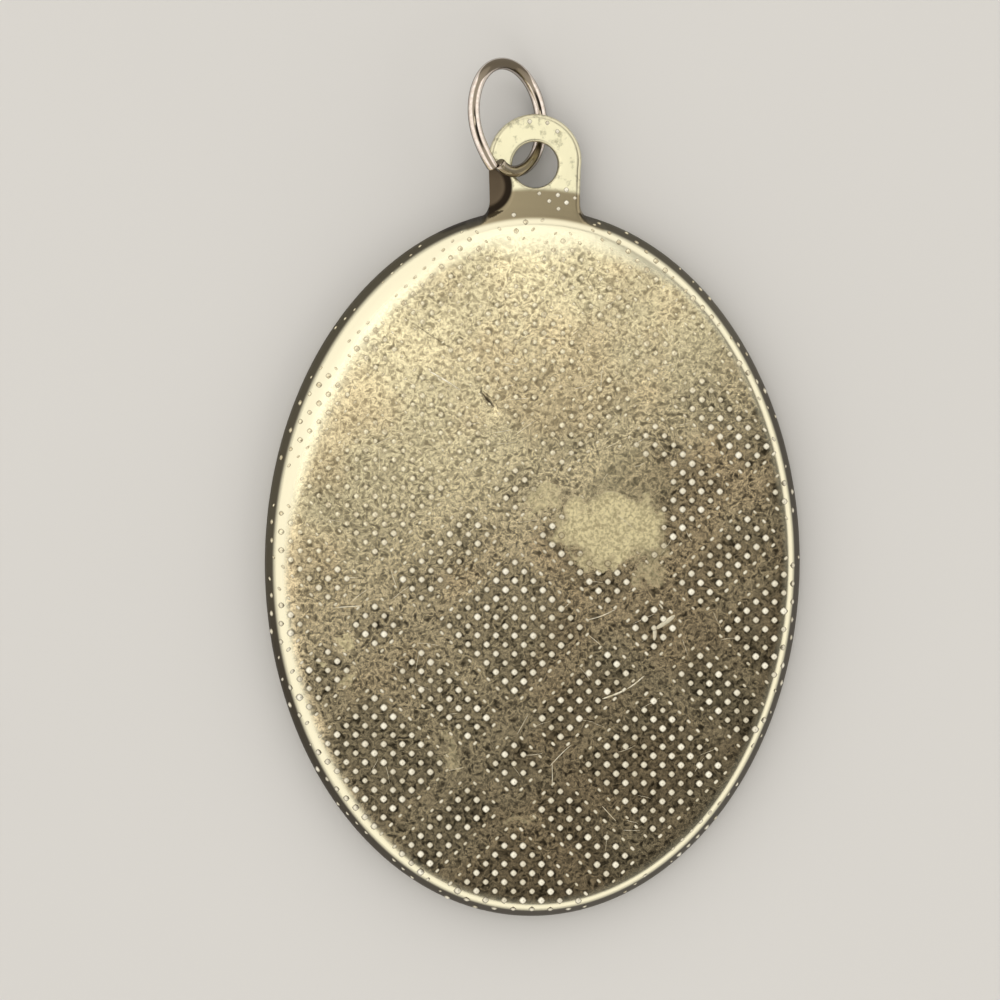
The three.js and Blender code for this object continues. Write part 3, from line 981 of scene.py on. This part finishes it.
index = pip_node("GeometryNodeInputIndex")
half_count = calc("FLOOR", given["Lines"] / 2.0)
down_line = calc("FLOOR", index / given["Lines"])
up_line = calc("FLOORED_MODULO", index, given["Lines"])
down_place, down_narrow = plaid_line(down_line - half_count)
up_place, up_narrow = plaid_line(up_line - half_count)
down_way = vector_calc("SCALE", given["Step Down"], down_place)
up_way = vector_calc("SCALE", given["Step Up"], up_place)
crossing = vector_calc("ADD", given["Start"], vector_calc("ADD", down_way, up_way))
count = given["Lines"] * given["Lines"]
points = pip_node("GeometryNodePoints", {"Count": count, "Position": crossing})
points = stored(stored(points, "down_narrow", down_narrow), "up_narrow", up_narrow)
points = stored(points, "pip_size", 1.0)
print("lines before the plaid repeats:", BEAT)

# %% Keep the crossings that lie on the oval
PIPS_IN = 0.06                # pips are kept inside the oval drawn in by this
EAR_CLEAR = 3.0               # and off the neck, which has charted ones
place = pip_node("GeometryNodeInputPosition")
place_mm = vector_calc("SCALE", place, 1 / MM)


def beyond_ring(inset):
    """True for points outside the oval drawn in by an inset."""
    out = in_ellipse(place_mm, (0, OVAL_Y), (HALF_WIDTH - inset, HALF_LENGTH - inset))
    return calc("GREATER_THAN", out, 1.0)


sideways = vector_calc("DOT_PRODUCT", place_mm, (1, 0, 0))
upward = vector_calc("DOT_PRODUCT", place_mm, (0, 1, 0))
near_ear = calc("LESS_THAN", calc("ABSOLUTE", sideways), EAR_CLEAR)
upper = calc("GREATER_THAN", upward, 0.0)
unwanted = calc("MAXIMUM", near_ear * upper * beyond_ring(CREST_IN), beyond_ring(PIPS_IN))
unwanted = calc("MAXIMUM", unwanted, read_back("down_narrow") * read_back("up_narrow"))
for _, x, y, half_width, half_length, _ in PATCHES_WITHOUT_PIPS:
    out = in_ellipse(place_mm, (x, y), (half_width, half_length))
    unwanted = calc("MAXIMUM", unwanted, calc("LESS_THAN", out, 1.0))
points = pip_node("GeometryNodeDeleteGeometry", {"Geometry": points, "Selection": unwanted})
print("nodes so far:", len(rolled_pips.nodes))

# %% Seat them on the metal
RAY_FROM = 10.0               # mm above the floor
RAY_LENGTH = 20.0
charted = pip_node("GeometryNodeMeshToPoints", {"Mesh": given["Geometry"]})
joined = node(rolled_pips, "GeometryNodeJoinGeometry")
for part in (charted, points):
    rolled_pips.links.new(part.socket, joined.inputs[0])
ray = node(rolled_pips, "GeometryNodeRaycast", {
    "Target Geometry": pip_node("GeometryNodeObjectInfo", {"Object": given["Medal"]}, "Geometry"),
    "Source Position": vector_calc("ADD", place, (0, 0, RAY_FROM * MM)),
    "Ray Direction": (0, 0, -1),
    "Ray Length": RAY_LENGTH * MM,
})
caught = node(rolled_pips, "GeometryNodeCaptureAttribute")
caught.capture_items.new("VECTOR", "Facing")
caught.capture_items.new("BOOLEAN", "On Metal")
rolled_pips.links.new(joined.outputs[0], caught.inputs["Geometry"])
rolled_pips.links.new(ray.outputs["Hit Normal"], caught.inputs["Facing"])
rolled_pips.links.new(ray.outputs["Is Hit"], caught.inputs["On Metal"])
caught_facing = Flow(rolled_pips, caught.outputs["Facing"])
on_metal = Flow(rolled_pips, caught.outputs["On Metal"])
seated = pip_node("GeometryNodeSetPosition", {
    "Geometry": Flow(rolled_pips, caught.outputs["Geometry"]),
    "Position": Flow(rolled_pips, ray.outputs["Hit Position"]),
})
off_metal = pip_node("FunctionNodeBooleanMath", {0: on_metal}, operation="NOT")
seated = pip_node("GeometryNodeDeleteGeometry", {"Geometry": seated, "Selection": off_metal})
print("nodes so far:", len(rolled_pips.nodes))

# %% Set a die on each, sized by its lines and by wear
SIZE_SPREAD = (0.86, 1.1)     # no two pips were rolled quite alike
WORN_SMALLER = 0.2            # where the back is worn, pips are this much smaller
WORN_LOWER = 0.15             # and lower still
DASH_THIN = 0.75              # a dash's height and brightness, as a share of a pip's
DULLEST = 0.55                # least brightness of a round pip


def narrowed(flag, share):
    """1 on a full line, the given share on a narrow one."""
    return flag * (share - 1.0) + 1.0


def random_value(low, high):
    return pip_node("FunctionNodeRandomValue", {"Seed": given["Seed"], 2: low, 3: high}, output=1)


worn_and_lit = wear_and_light_share(place_mm)
size = random_value(*SIZE_SPREAD) * (1.0 - worn_and_lit * WORN_SMALLER) * read_back("pip_size")
radius = given["Pip Radius"] * size
down_flag, up_flag = read_back("down_narrow"), read_back("up_narrow")
across = narrowed(down_flag, given["Dash Width"]) * narrowed(up_flag, given["Dash Length"])
along = narrowed(up_flag, given["Dash Width"]) * narrowed(down_flag, given["Dash Length"])
thinned = (1.0 - down_flag * (1 - DASH_THIN)) * (1.0 - up_flag * (1 - DASH_THIN))
lowered = size * (1.0 - worn_and_lit * WORN_LOWER)
tone = (random_value(0.0, 1.0) * (1 - DULLEST) + DULLEST) * thinned
seated = stored(seated, "pip_tone", tone)
die_size = pip_node("ShaderNodeCombineXYZ", {
    0: radius * across,
    1: radius * along,
    2: given["Pip Height"] * thinned * lowered,
})
along_lines = pip_node("FunctionNodeEulerToRotation", {0: (0, 0, math.radians(-45))})
turned = {"Rotation": along_lines, "Vector": caught_facing}
placed = pip_node("GeometryNodeInstanceOnPoints", {
    "Points": seated,
    "Instance": pip_node("GeometryNodeObjectInfo", {"Object": given["Die"]}, "Geometry"),
    "Rotation": pip_node("FunctionNodeAlignRotationToVector", turned, axis="Z"),
    "Scale": die_size,
})
real = pip_node("GeometryNodeRealizeInstances", {"Geometry": placed})
finished = pip_node("GeometryNodeSetMaterial", {"Geometry": real, "Material": given["Metal"]})
node(rolled_pips, "NodeGroupOutput", {"Geometry": finished})
print("pip tree:", len(rolled_pips.nodes), "nodes")

# %% [markdown]
# The metal is a pale yellowish brass that has been worn for years. High places are rubbed clean
# and bright; low ones are darker, partly with brown tarnish and partly with painted shade; and the
# flat back has a fine worm-like grain. All of it is worked out from the place in millimetres, so it
# stays put on the piece from every side.

# %% Small parts that the materials share
def new_material(name):
    material = bpy.data.materials.new(name)
    material.use_nodes = True
    material.node_tree.nodes.clear()
    return material, material.node_tree


def place_in_mm(tree):
    return vector_calc("SCALE", flow(tree, "ShaderNodeTexCoord", output="Object"), 1 / MM)


def noise(place, scale, detail=2.0, roughness=0.5, distortion=0.0):
    values = {"Vector": place, "Scale": scale, "Detail": detail}
    values |= {"Roughness": roughness, "Distortion": distortion}
    return flow(place.tree, "ShaderNodeTexNoise", values, "Fac")


def mix(share, first, second):
    """From the first colour, where the share is 0, to the second."""
    colours = [c if isinstance(c, Flow) else (*c, 1) for c in (first, second)]
    values = {"Factor": share, 6: colours[0], 7: colours[1]}
    return flow(share.tree, "ShaderNodeMix", values, 2, data_type="RGBA")


def stored_mask(tree, name):
    return flow(tree, "ShaderNodeAttribute", output="Fac", attribute_name=name)


def bump(height, strength, depth):
    """Small relief, its depth in millimetres."""
    values = {"Strength": strength, "Distance": depth * MM, "Height": height}
    return flow(height.tree, "ShaderNodeBump", values)


def finish_material(colour, roughness, relief, metallic=1.0):
    shader = flow(colour.tree, "ShaderNodeBsdfPrincipled", {
        "Base Color": colour,
        "Roughness": roughness,
        "Normal": relief,
        "Metallic": metallic,
    })
    node(colour.tree, "ShaderNodeOutputMaterial", {"Surface": shader})


print("material helpers:", noise.__name__, mix.__name__, bump.__name__)

# %% [markdown]
# In the squares of the plaid the ground between the pips is darker, because nothing reaches it to
# polish it. Close round each pip a ring of painted shade darkens it further. The material works out
# the plaid once more from the same values as the pips, so the rings of painted shade always lie
# where the pips stand.

# %% The plaid's dark ground
PAIR_BAND = (1.3, 0.8)        # half width of a pair of narrow lines, in steps, where it fades
PAIRS_MIDDLE = 8.0            # both pairs of a beat lie round this line,
PAIRS_REACH = 4.0             # no further away than this
HALO = (0.43, 0.28)           # the ring of painted shade round a pip fades between these, in steps


def in_narrow_pair(line):
    """1 in the band that a pair of narrow lines takes up, 0 among the full lines."""
    beat = calc("FLOORED_MODULO", line, BEAT)
    from_pair = calc("WRAP", beat - (PAIR_EVERY + 0.5), PAIR_EVERY / 2, -PAIR_EVERY / 2)
    among_pairs = calc("COMPARE", beat, PAIRS_MIDDLE, PAIRS_REACH)
    return ramp(calc("ABSOLUTE", from_pair), *PAIR_BAND) * among_pairs


def ground_shares(place):
    """1 in the squares of full lines; and 1 close round each pip of those squares."""
    from_start = vector_calc("SUBTRACT", place, (*PLAID_START, 0))
    rows = np.linalg.inv(np.array(PLAID_STEPS).T)
    lines = [vector_calc("DOT_PRODUCT", from_start, (*row, 0)) for row in rows]
    down_band, up_band = [in_narrow_pair(line) for line in lines]
    in_square = 1.0 - calc("MAXIMUM", down_band, up_band)
    down_gap, up_gap = [calc("WRAP", line, 0.5, -0.5) for line in lines]
    from_pip = calc("SQRT", down_gap * down_gap + up_gap * up_gap)
    return in_square, in_square * ramp(from_pip, *HALO)


print("the plaid's two steps, mm:", PLAID_STEPS)

# %% Tones of the back
RUBBED = (0.87, 0.83, 0.63)   # bare metal of the shoulder
EAR_TONE = (0.73, 0.695, 0.50)
PIT_TONE = (0.42, 0.40, 0.28)
PANEL_LIGHT = (0.96, 0.81, 0.53)
PANEL_DARK = (0.10, 0.082, 0.050)
# Grain tones for the worn upper left, painted lighter and flatter where the softbox's highlight falls.
WORN_AND_LIT_LIGHT = (0.84, 0.75, 0.50)
WORN_AND_LIT_DARK = (0.28, 0.235, 0.145)
PATCH_LIGHT = (0.88, 0.785, 0.49)
PATCH_DARK = (0.48, 0.415, 0.25)
# Tarnish and a painted dark reflection for the leaning side, and the underside's tone; lighter on the
# worn, lit upper left.
DARKENED_TONE = (0.060, 0.047, 0.028)
DARKENED_WORN_AND_LIT = (0.105, 0.092, 0.060)
# The hollow's brown floor and near-black wall.
HOLLOW_TONE = (0.13, 0.10, 0.068)
HOLLOW_WALL = (0.026, 0.019, 0.013)
# Painted shade for the neck's slope.
NECK_SHADE_TONE = (0.33, 0.28, 0.18)
WORM_SHARE = 0.6              # of the grain's light comes from its worms, the rest from specks
CLOUD_SHADE = 0.80            # wide clouds of a slightly darker tone
BLUSH = (1.02, 0.97, 0.94)    # and wider ones of a redder one
SQUARE_SHADE = 0.25           # how much darker the plaid's squares are, where they aren't worn
HALO_SHADE = 0.5              # how much painted shade darkens a pip's ring, where the grain is dark
HALO_LIT = 0.38               # less by this where it is lit
HALO_WORN_AND_LIT = 0.12              # and by this where it is worn and lit
HALO_WORN_LIT = 0.05          # where it is both, this much comes back
print("brightest and darkest tone:", PANEL_LIGHT, HOLLOW_WALL)

# %% Grain of the back
back_metal, tree = new_material("worn_pale_brass")
place = place_in_mm(tree)
darkened = stored_mask(tree, "darkening")
grained = stored_mask(tree, "grained")
worn_and_lit = wear_and_light_share(place)
grain = noise(place, 2.1, detail=4.0, roughness=0.62, distortion=0.7)
worms = calc("ABSOLUTE", grain * 2.0 - 1.0)
speckle = ramp(noise(place, 4.2, detail=3.0, roughness=0.6), 0.38, 0.62)
lit_grain = ramp(worms, 0.24, 0.0) * WORM_SHARE + speckle * (1 - WORM_SHARE)
clouds = noise(place, 0.22, detail=5.0, roughness=0.6)
blush = ramp(noise(place, 0.16, detail=3.0), 0.45, 0.65)
patch = pale_share(place) * grained
patch_grain = ramp(noise(place, 4.6, detail=4.0, roughness=0.65, distortion=0.5), 0.36, 0.62)
pits = ramp(noise(place, 1.9, detail=4.0, roughness=0.65), 0.52, 0.70)
print("nodes for the grain:", len(tree.nodes))

# %% Colour, roughness and bump of the back
panel = mix(lit_grain, mix(worn_and_lit, PANEL_DARK, WORN_AND_LIT_DARK), mix(worn_and_lit, PANEL_LIGHT, WORN_AND_LIT_LIGHT))
panel = mix(ramp(clouds, 0.38, 0.66), panel, vector_calc("SCALE", panel, CLOUD_SHADE))
panel = mix(blush, panel, vector_calc("MULTIPLY", panel, BLUSH))
in_square, round_pip = ground_shares(place)
square_light = 1.0 - in_square * (1.0 - worn_and_lit) * SQUARE_SHADE
# A ring of painted shade round each pip's foot, weaker where the grain is light and where the back is
# worn and lit.
halo = HALO_SHADE - worn_and_lit * HALO_WORN_AND_LIT - lit_grain * (HALO_LIT - worn_and_lit * HALO_WORN_LIT)
panel = vector_calc("SCALE", panel, square_light * (1.0 - round_pip * halo))
panel = mix(patch, panel, mix(patch_grain, PATCH_DARK, PATCH_LIGHT))
bare = mix(stored_mask(tree, "on_ear"), RUBBED, mix(pits, EAR_TONE, PIT_TONE))
colour = mix(grained, bare, panel)
# Painted shade on the neck's slope, which leans away from the light.
colour = mix(stored_mask(tree, "neck_slope_shade"), colour, NECK_SHADE_TONE)
# The darkened places: the side with tarnish and a painted dark reflection, the hollow's near-black wall
# and floor, and the grooves.
low_tone = mix(worn_and_lit, DARKENED_TONE, DARKENED_WORN_AND_LIT)
low_tone = mix(stored_mask(tree, "deepest"), low_tone, HOLLOW_WALL)
low_tone = mix(stored_mask(tree, "hollow_floor"), low_tone, HOLLOW_TONE)
colour = mix(darkened, colour, low_tone)
# Smoothest where it is grained, and rougher under clouds, in the pale patches and where it is darkened.
roughness = 0.265 - grained * 0.05 + clouds * 0.03 + patch * 0.16 + darkened * 0.15
relief = bump((lit_grain - pits) * 0.6, grained * 0.05 + 0.25, 0.006)
finish_material(colour, roughness, relief)
print("nodes for the back:", len(tree.nodes))

# %% [markdown]
# A pip's top is rubbed by everything that it touches, so it is the brightest metal of all, and its
# bright core also serves as a painted highlight; its foot gets painted shade. In the worn and lit
# part the tops come nearer to the ground's tone there.

# %% Metal of the rubbed pips
PIP_BRIGHT = (1.0, 0.97, 0.84)
PIP_DULL = (0.48, 0.42, 0.28)
# Pip tones for the worn upper left, which also carry painted light, and the painted shade at a pip's foot
# there.
PIP_WORN_AND_LIT = (0.97, 0.91, 0.68)
PIP_WORN_AND_LIT_LOW = (0.66, 0.58, 0.40)
FOOT_SHADE_WORN_AND_LIT = (0.24, 0.20, 0.13)
PALE_PIP = (0.50, 0.44, 0.29)
PALE_SOONER = 1.7             # pips turn pale sooner than the ground round them
DULLED_BY = 0.3               # some groups of pips are duller by this much
pip_metal, tree = new_material("rubbed_pale_brass")
place = place_in_mm(tree)
worn_and_lit = wear_and_light_share(place)
fine = noise(place, 5.0)
dulled = ramp(noise(place, 0.35, detail=3.0), 0.48, 0.62)
bright_share = stored_mask(tree, "pip_tone") * (1.0 - dulled * DULLED_BY)
colour = mix(bright_share, PIP_DULL, PIP_BRIGHT)
colour = mix(worn_and_lit, colour, mix(ramp(fine, 0.40, 0.58), PIP_WORN_AND_LIT_LOW, PIP_WORN_AND_LIT))
colour = mix(calc("MINIMUM", pale_share(place) * PALE_SOONER, 1.0), colour, PALE_PIP)
# Painted shade at each pip's foot, lighter where the back is worn and lit.
colour = mix(stored_mask(tree, "pip_rise"), mix(worn_and_lit, PANEL_DARK, FOOT_SHADE_WORN_AND_LIT), colour)
finish_material(colour, 0.38, bump(fine, 0.6, 0.01))
print("nodes for the pips:", len(tree.nodes))

# %% [markdown]
# A fresh scratch shows bright metal, and the smears are pale too, but duller. The ring's wire is
# plated, smoother and pinker than the medal. It reads as two light lines beside a dark crest, so
# a painted dark reflection runs along the crest, and the lower sides of the wire get painted shade.

# %% Metals of the scratches, the smears and the ring
# Painted reflection and shade on the wire: a dark crest line, a darker far end, shaded lower sides and a
# shaded stretch in the ear's hole.
CREST_PAINTED_DARK = (0.27, 0.23, 0.18)
FAR_END_PAINTED_DARK = (0.17, 0.14, 0.10)
LOWER_SIDE_SHADE = (0.13, 0.105, 0.08)
IN_HOLE_SHADE = (0.22, 0.19, 0.12)
IN_EAR_SHARE = 0.7
CREST_FACING = (0.93, 0.98)   # how squarely the crest faces up
CREST_WIDER = 0.35            # at the ring's far end it is wider
SIDE_FACING = (0.6, 0.3)      # and how little the sides with painted shade do


def mottled(name, scale, fade, dark, light):
    """A new material, its noise, that noise as a share, and the colour it mixes from two tones."""
    material, tree = new_material(name)
    fine = noise(place_in_mm(tree), scale, detail=3.0)
    share = ramp(fine, *fade)
    return material, fine, share, mix(share, dark, light)


burr_metal, _, broken, colour = mottled(
    "bright_burr", 3.0, (0.35, 0.6), (0.68, 0.62, 0.46), (0.98, 0.93, 0.78))
finish_material(colour, 0.28, bump(broken, 0.5, 0.005))

smear_metal, fine, _, colour = mottled(
    "pale_smear", 5.0, (0.3, 0.6), (0.62, 0.57, 0.43), (0.80, 0.75, 0.60))
finish_material(colour, 0.5, bump(fine, 0.5, 0.004))

wire_metal, fine, _, colour = mottled(
    "plated_ring_wire", 4.0, (0.35, 0.65), (0.80, 0.70, 0.63), (0.92, 0.84, 0.78))
facing = stored_mask(colour.tree, "facing_up")
at_top = stored_mask(colour.tree, "at_top")
crest = ramp(facing + at_top * CREST_WIDER, *CREST_FACING)
# Painted reflection: a dark line along the wire's crest. Painted shade: its lower sides and the stretch
# in the hole.
colour = mix(crest, colour, mix(at_top, CREST_PAINTED_DARK, FAR_END_PAINTED_DARK))
colour = mix(ramp(facing, *SIDE_FACING), colour, LOWER_SIDE_SHADE)
colour = mix(stored_mask(colour.tree, "in_ear") * IN_EAR_SHARE, colour, IN_HOLE_SHADE)
finish_material(colour, 0.12, bump(fine, 0.3, 0.002))
print("metals:", burr_metal.name, smear_metal.name, wire_metal.name)

# %% [markdown]
# The plaid leaves out the neck and the ear. The few pips that show there, and one on the shoulder
# beside them, are charted one by one. They go into the tree as its own geometry and are seated like
# all the others.

# %% Set the pips
CHARTED = [
    # place, x, y, size
    ("neck", 0.23, 17.32, 0.75), ("neck", 1.82, 17.54, 0.7), ("neck", 1.32, 17.23, 0.75),
    ("neck", 0.81, 16.88, 0.75), ("neck", 2.31, 17.06, 0.65), ("neck", 1.82, 16.79, 0.7),
    ("neck", 1.35, 16.43, 0.75), ("neck", -1.26, 16.07, 0.8), ("shoulder", 3.48, 15.50, 0.8),
    ("ear", -0.33, 21.50, 0.7), ("ear", 0.70, 21.42, 0.7), ("ear", 1.29, 20.93, 0.65),
]
SETTINGS = {
    "Medal": medal,
    "Die": pip_die,
    "Lines": 121,
    "Start": (PLAID_START[0] * MM, PLAID_START[1] * MM, 0),
    "Step Down": (PLAID_STEPS[0][0] * MM, PLAID_STEPS[0][1] * MM, 0),
    "Step Up": (PLAID_STEPS[1][0] * MM, PLAID_STEPS[1][1] * MM, 0),
    "Narrow Shift": 0.2,
    "Pip Radius": 0.193,
    "Pip Height": 0.1,
    "Dash Width": 0.48,
    "Dash Length": 0.80,
    "Seed": 7,
    "Metal": pip_metal,
}
pip_seeds = new_piece("pip_seeds", [(x, y, 0) for _, x, y, _ in CHARTED], [])
store(pip_seeds, "pip_size", [size for *_, size in CHARTED])
rolling = pip_seeds.modifiers.new("rolled_pips", "NODES")
rolling.node_group = rolled_pips
inputs = {
    item.name: item.identifier
    for item in rolled_pips.interface.items_tree
    if item.item_type == "SOCKET" and item.in_out == "INPUT"
}
for name, value in SETTINGS.items():
    rolling[inputs[name]] = value
bpy.context.view_layer.update()
evaluated = pip_seeds.evaluated_get(bpy.context.evaluated_depsgraph_get())
pip_mesh = bpy.data.meshes.new_from_object(evaluated)
pip_mesh.name = "back_pips"
pips = bpy.data.objects.new("back_pips", pip_mesh)
bpy.context.scene.collection.objects.link(pips)
bpy.data.objects.remove(pip_seeds)
bpy.data.objects.remove(pip_die)
for polygon in pip_mesh.polygons:
    polygon.use_smooth = True
print("pips:", len(pip_mesh.vertices) // len(die_points), "of them,", len(pip_mesh.polygons), "faces")

# %% [markdown]
# A scratch throws up a thin bright ridge beside it, and that ridge is what the eye sees. Each one
# here is a fine bar, tapered at both ends and half sunk in the panel. The smears are low bars as
# well, two wide arms and a fleck. Hairlines at random places stand for the many small rubs.

# %% Scratches as raised edges
SCRATCHES = [
    # name, start x, start y, end x, end y, half width, height, bow
    ("second", -6.21, 6.98, -4.40, 5.87, 0.050, 0.010, 0.03),
    ("left", -11.80, -6.84, -10.11, -6.73, 0.024, 0.014, 0.02),
    ("right", 3.06, -7.59, 4.76, -6.95, 0.022, 0.012, -0.08),
    ("bright", 3.95, -12.23, 5.42, -11.65, 0.055, 0.018, -0.04),
    ("bright end", 5.42, -11.65, 6.42, -10.89, 0.032, 0.014, -0.03),
    ("low", 0.91, -16.16, 2.14, -14.93, 0.022, 0.012, 0.04),
    ("low upright", 1.02, -15.98, 1.03, -17.45, 0.018, 0.010, 0.02),
    ("lowest", 3.97, -18.53, 4.79, -19.42, 0.020, 0.011, 0.0),
]
SMEARS = [
    ("upper arm", 8.22, -7.33, 7.08, -8.12, 0.135, 0.012, 0.03),
    ("lower arm", 7.02, -7.95, 7.02, -8.80, 0.115, 0.011, 0.02),
    ("fleck", 7.30, -6.65, 7.52, -6.95, 0.05, 0.010, 0.0),
]
HAIRLINES = 70
HAIRLINES_IN = 2.6            # they lie on the flat of the panel
HAIRLINE_HEIGHT = 0.007
HAIRLINE_HALF = (0.006, 0.011)
HAIRLINE_LENGTH = (0.5, 1.6)
HAIRLINE_TURN = (math.radians(25), math.radians(45))      # middle and spread
HAIRLINE_BOW = 0.02
BAR_STATIONS = 11
BAR_SIDES = 8
BAR_END = 0.15                # share of its width that a bar has at its ends
BAR_FULLNESS = 0.35           # the smaller, the sooner it has its full width
chance = np.random.default_rng(23)


def tapered_bar(start, end, half_width, height, bow):
    """A low bar along a slightly bowed line, tapered to both ends."""
    step = np.array(end) - np.array(start)
    sideways = np.array([-step[1], step[0]]) / np.linalg.norm(step)
    points = []
    for share in np.linspace(0, 1, BAR_STATIONS):
        swell = math.sin(math.pi * share)
        centre = np.array(start) + step * share + sideways * bow * swell
        taper = BAR_END + (1 - BAR_END) * swell ** BAR_FULLNESS
        for turn in 2 * math.pi * np.arange(BAR_SIDES) / BAR_SIDES:
            across = centre + sideways * half_width * taper * math.cos(turn)
            points.append((*across, BACK + height * taper * math.sin(turn)))
    faces = [tuple(reversed(range(BAR_SIDES)))] + tube_faces(BAR_STATIONS, BAR_SIDES)
    faces.append(tuple(range(len(points) - BAR_SIDES, len(points))))
    return points, faces


def random_hairline():
    """Ends, half width, height and bow of one hairline."""
    place = np.array([100.0, 0.0])
    while oval_inset(place[0], place[1]) < HAIRLINES_IN:
        place = chance.uniform([-HALF_WIDTH, OVAL_Y - HALF_LENGTH], [HALF_WIDTH, OVAL_TOP])
    turn = chance.normal(*HAIRLINE_TURN)
    step = chance.uniform(*HAIRLINE_LENGTH) * np.array([math.cos(turn), math.sin(turn)]) / 2
    half_width = chance.uniform(*HAIRLINE_HALF)
    return place - step, place + step, half_width, HAIRLINE_HEIGHT, chance.normal(0, HAIRLINE_BOW)


def charted_bars(table):
    return [((x0, y0), (x1, y1), width, height, bow) for _, x0, y0, x1, y1, width, height, bow in table]


def joined_bars(name, bars):
    all_points, all_faces = [], []
    for bar in bars:
        points, faces = tapered_bar(*bar)
        all_faces += [tuple(k + len(all_points) for k in face) for face in faces]
        all_points += points
    piece = new_piece(name, all_points, all_faces)
    faces_outward(piece)
    return piece


hairlines = [random_hairline() for _ in range(HAIRLINES)]
burrs = joined_bars("scratch_burrs", charted_bars(SCRATCHES) + hairlines)
smears = joined_bars("pale_smears", charted_bars(SMEARS))
print("scratches:", len(burrs.data.polygons), "faces, smears:", len(smears.data.polygons), "faces")

# %% [markdown]
# Every piece gets its material and says which body it rides on. The medal and the ring each
# stand in for a solid. Pips, scratches and smears are the medal's own metal.

# %% Give the pieces their metal and their bodies
burrs.data.materials.append(burr_metal)
smears.data.materials.append(smear_metal)
medal.data.materials.append(back_metal)
ring.data.materials.append(wire_metal)
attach(burrs, "root")
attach(smears, "root")
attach(medal, "root")
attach(pips, "root")
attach(ring, "root")
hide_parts("medal_body")
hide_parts("jump_ring")
print("pieces:", medal.name, ring.name, pips.name, burrs.name, smears.name)

# %% [markdown]
# The floor is a wide pale table. It isn't part of the medal.

# %% Floor
FLOOR_HALF = 1500.0
FLOOR_CORNERS = [(-1, -1), (1, -1), (1, 1), (-1, 1)]
floor_points = [(x * FLOOR_HALF, y * FLOOR_HALF, 0) for x, y in FLOOR_CORNERS]
floor = new_piece("pale_table", floor_points, [(0, 1, 2, 3)])
table_paint, tree = new_material("pale_table_paint")
tone = noise(place_in_mm(tree), 0.02, detail=3.0)
paint = mix(tone, (0.66, 0.66, 0.66), (0.70, 0.70, 0.70))
shader = flow(tree, "ShaderNodeBsdfPrincipled", {"Base Color": paint, "Roughness": 0.9})
node(tree, "ShaderNodeOutputMaterial", {"Surface": shader})
floor.data.materials.append(table_paint)
print("floor half width, mm:", FLOOR_HALF)

# %% [markdown]
# The light is a soft studio: a pale dome with one dark part, overhead and to the lower right, and
# a wide oval softbox nearly overhead. The flat panel mirrors the dark part on its lower right and
# the softbox on its upper left, and the sides of every raised pip catch the pale dome.

# %% Light
DARK_MIDDLE = (0.30, -0.20)   # middle of the dome's dark part, as slopes to the right and upwards
DARK_HALF = (0.44, 0.62)      # and its half sizes
DARK_FADE = (1.15, 0.8)       # shares of them between which it sets in
DOME_PALE = (1.15, 1.10, 1.02)
DOME_DARK = (0.075, 0.070, 0.062)
LOWEST_SLOPE = 0.05           # directions lower than this count as this low
world = bpy.data.worlds.new("studio_dome")
bpy.context.scene.world = world
world.use_nodes = True
tree = world.node_tree
tree.nodes.clear()
direction = flow(tree, "ShaderNodeTexCoord", output="Generated")
height = calc("MAXIMUM", vector_calc("DOT_PRODUCT", direction, (0, 0, 1)), LOWEST_SLOPE)
slopes = vector_calc("SCALE", direction, calc("DIVIDE", 1.0, height))
dome = mix(ramp(in_ellipse(slopes, DARK_MIDDLE, DARK_HALF), *DARK_FADE), DOME_PALE, DOME_DARK)
background = flow(tree, "ShaderNodeBackground", {"Color": dome, "Strength": 1.0})
node(tree, "ShaderNodeOutputWorld", {"Surface": background})


def softbox(name, place, aim, size, spin, power, colour):
    """A wide oval area light, sizes and places in millimetres, turned by a spin about its aim."""
    lamp = bpy.data.lights.new(name, "AREA")
    lamp.shape = "ELLIPSE"
    lamp.size = size[0] * MM
    lamp.size_y = size[1] * MM
    lamp.energy = power
    lamp.color = colour
    light = bpy.data.objects.new(name, lamp)
    light.location = Vector(place) * MM
    towards = (Vector(aim) - Vector(place)).to_track_quat("-Z", "Y")
    light.rotation_euler = (towards @ Quaternion((0, 0, 1), spin)).to_euler()
    bpy.context.scene.collection.objects.link(light)


softbox(
    "warm_softbox", place=(6, 34, 400), aim=(0, 0, 0), size=(200, 82),
    spin=math.radians(32), power=0.090, colour=(1.0, 0.98, 0.90))
print("dome nodes:", len(tree.nodes))

# %% [markdown]
# The camera looks down from a little left of and above the medal, as the photograph's did.

# %% Camera
CAMERA_PLACE = (-18.0, 16.0 + OVAL_Y, 260.0)
CAMERA_TURN = (-2.706, -3.538, 0.084)      # degrees
PICTURE_FOCUS = 4.4272                     # focal length in widths of the picture
view = bpy.data.cameras.new("camera")
view.sensor_width = 36
view.lens = PICTURE_FOCUS * view.sensor_width
view.clip_start = 0.01
view.clip_end = 10
camera = bpy.data.objects.new("camera", view)
camera.location = Vector(CAMERA_PLACE) * MM
camera.rotation_euler = [math.radians(angle) for angle in CAMERA_TURN]
bpy.context.scene.collection.objects.link(camera)
bpy.context.scene.camera = camera
bpy.context.scene.view_settings.view_transform = "Standard"
print("focal length, mm:", round(view.lens, 1))

# %% [markdown]
# Last, the scene is brought up to date.

# %% Finish
bpy.context.view_layer.update()
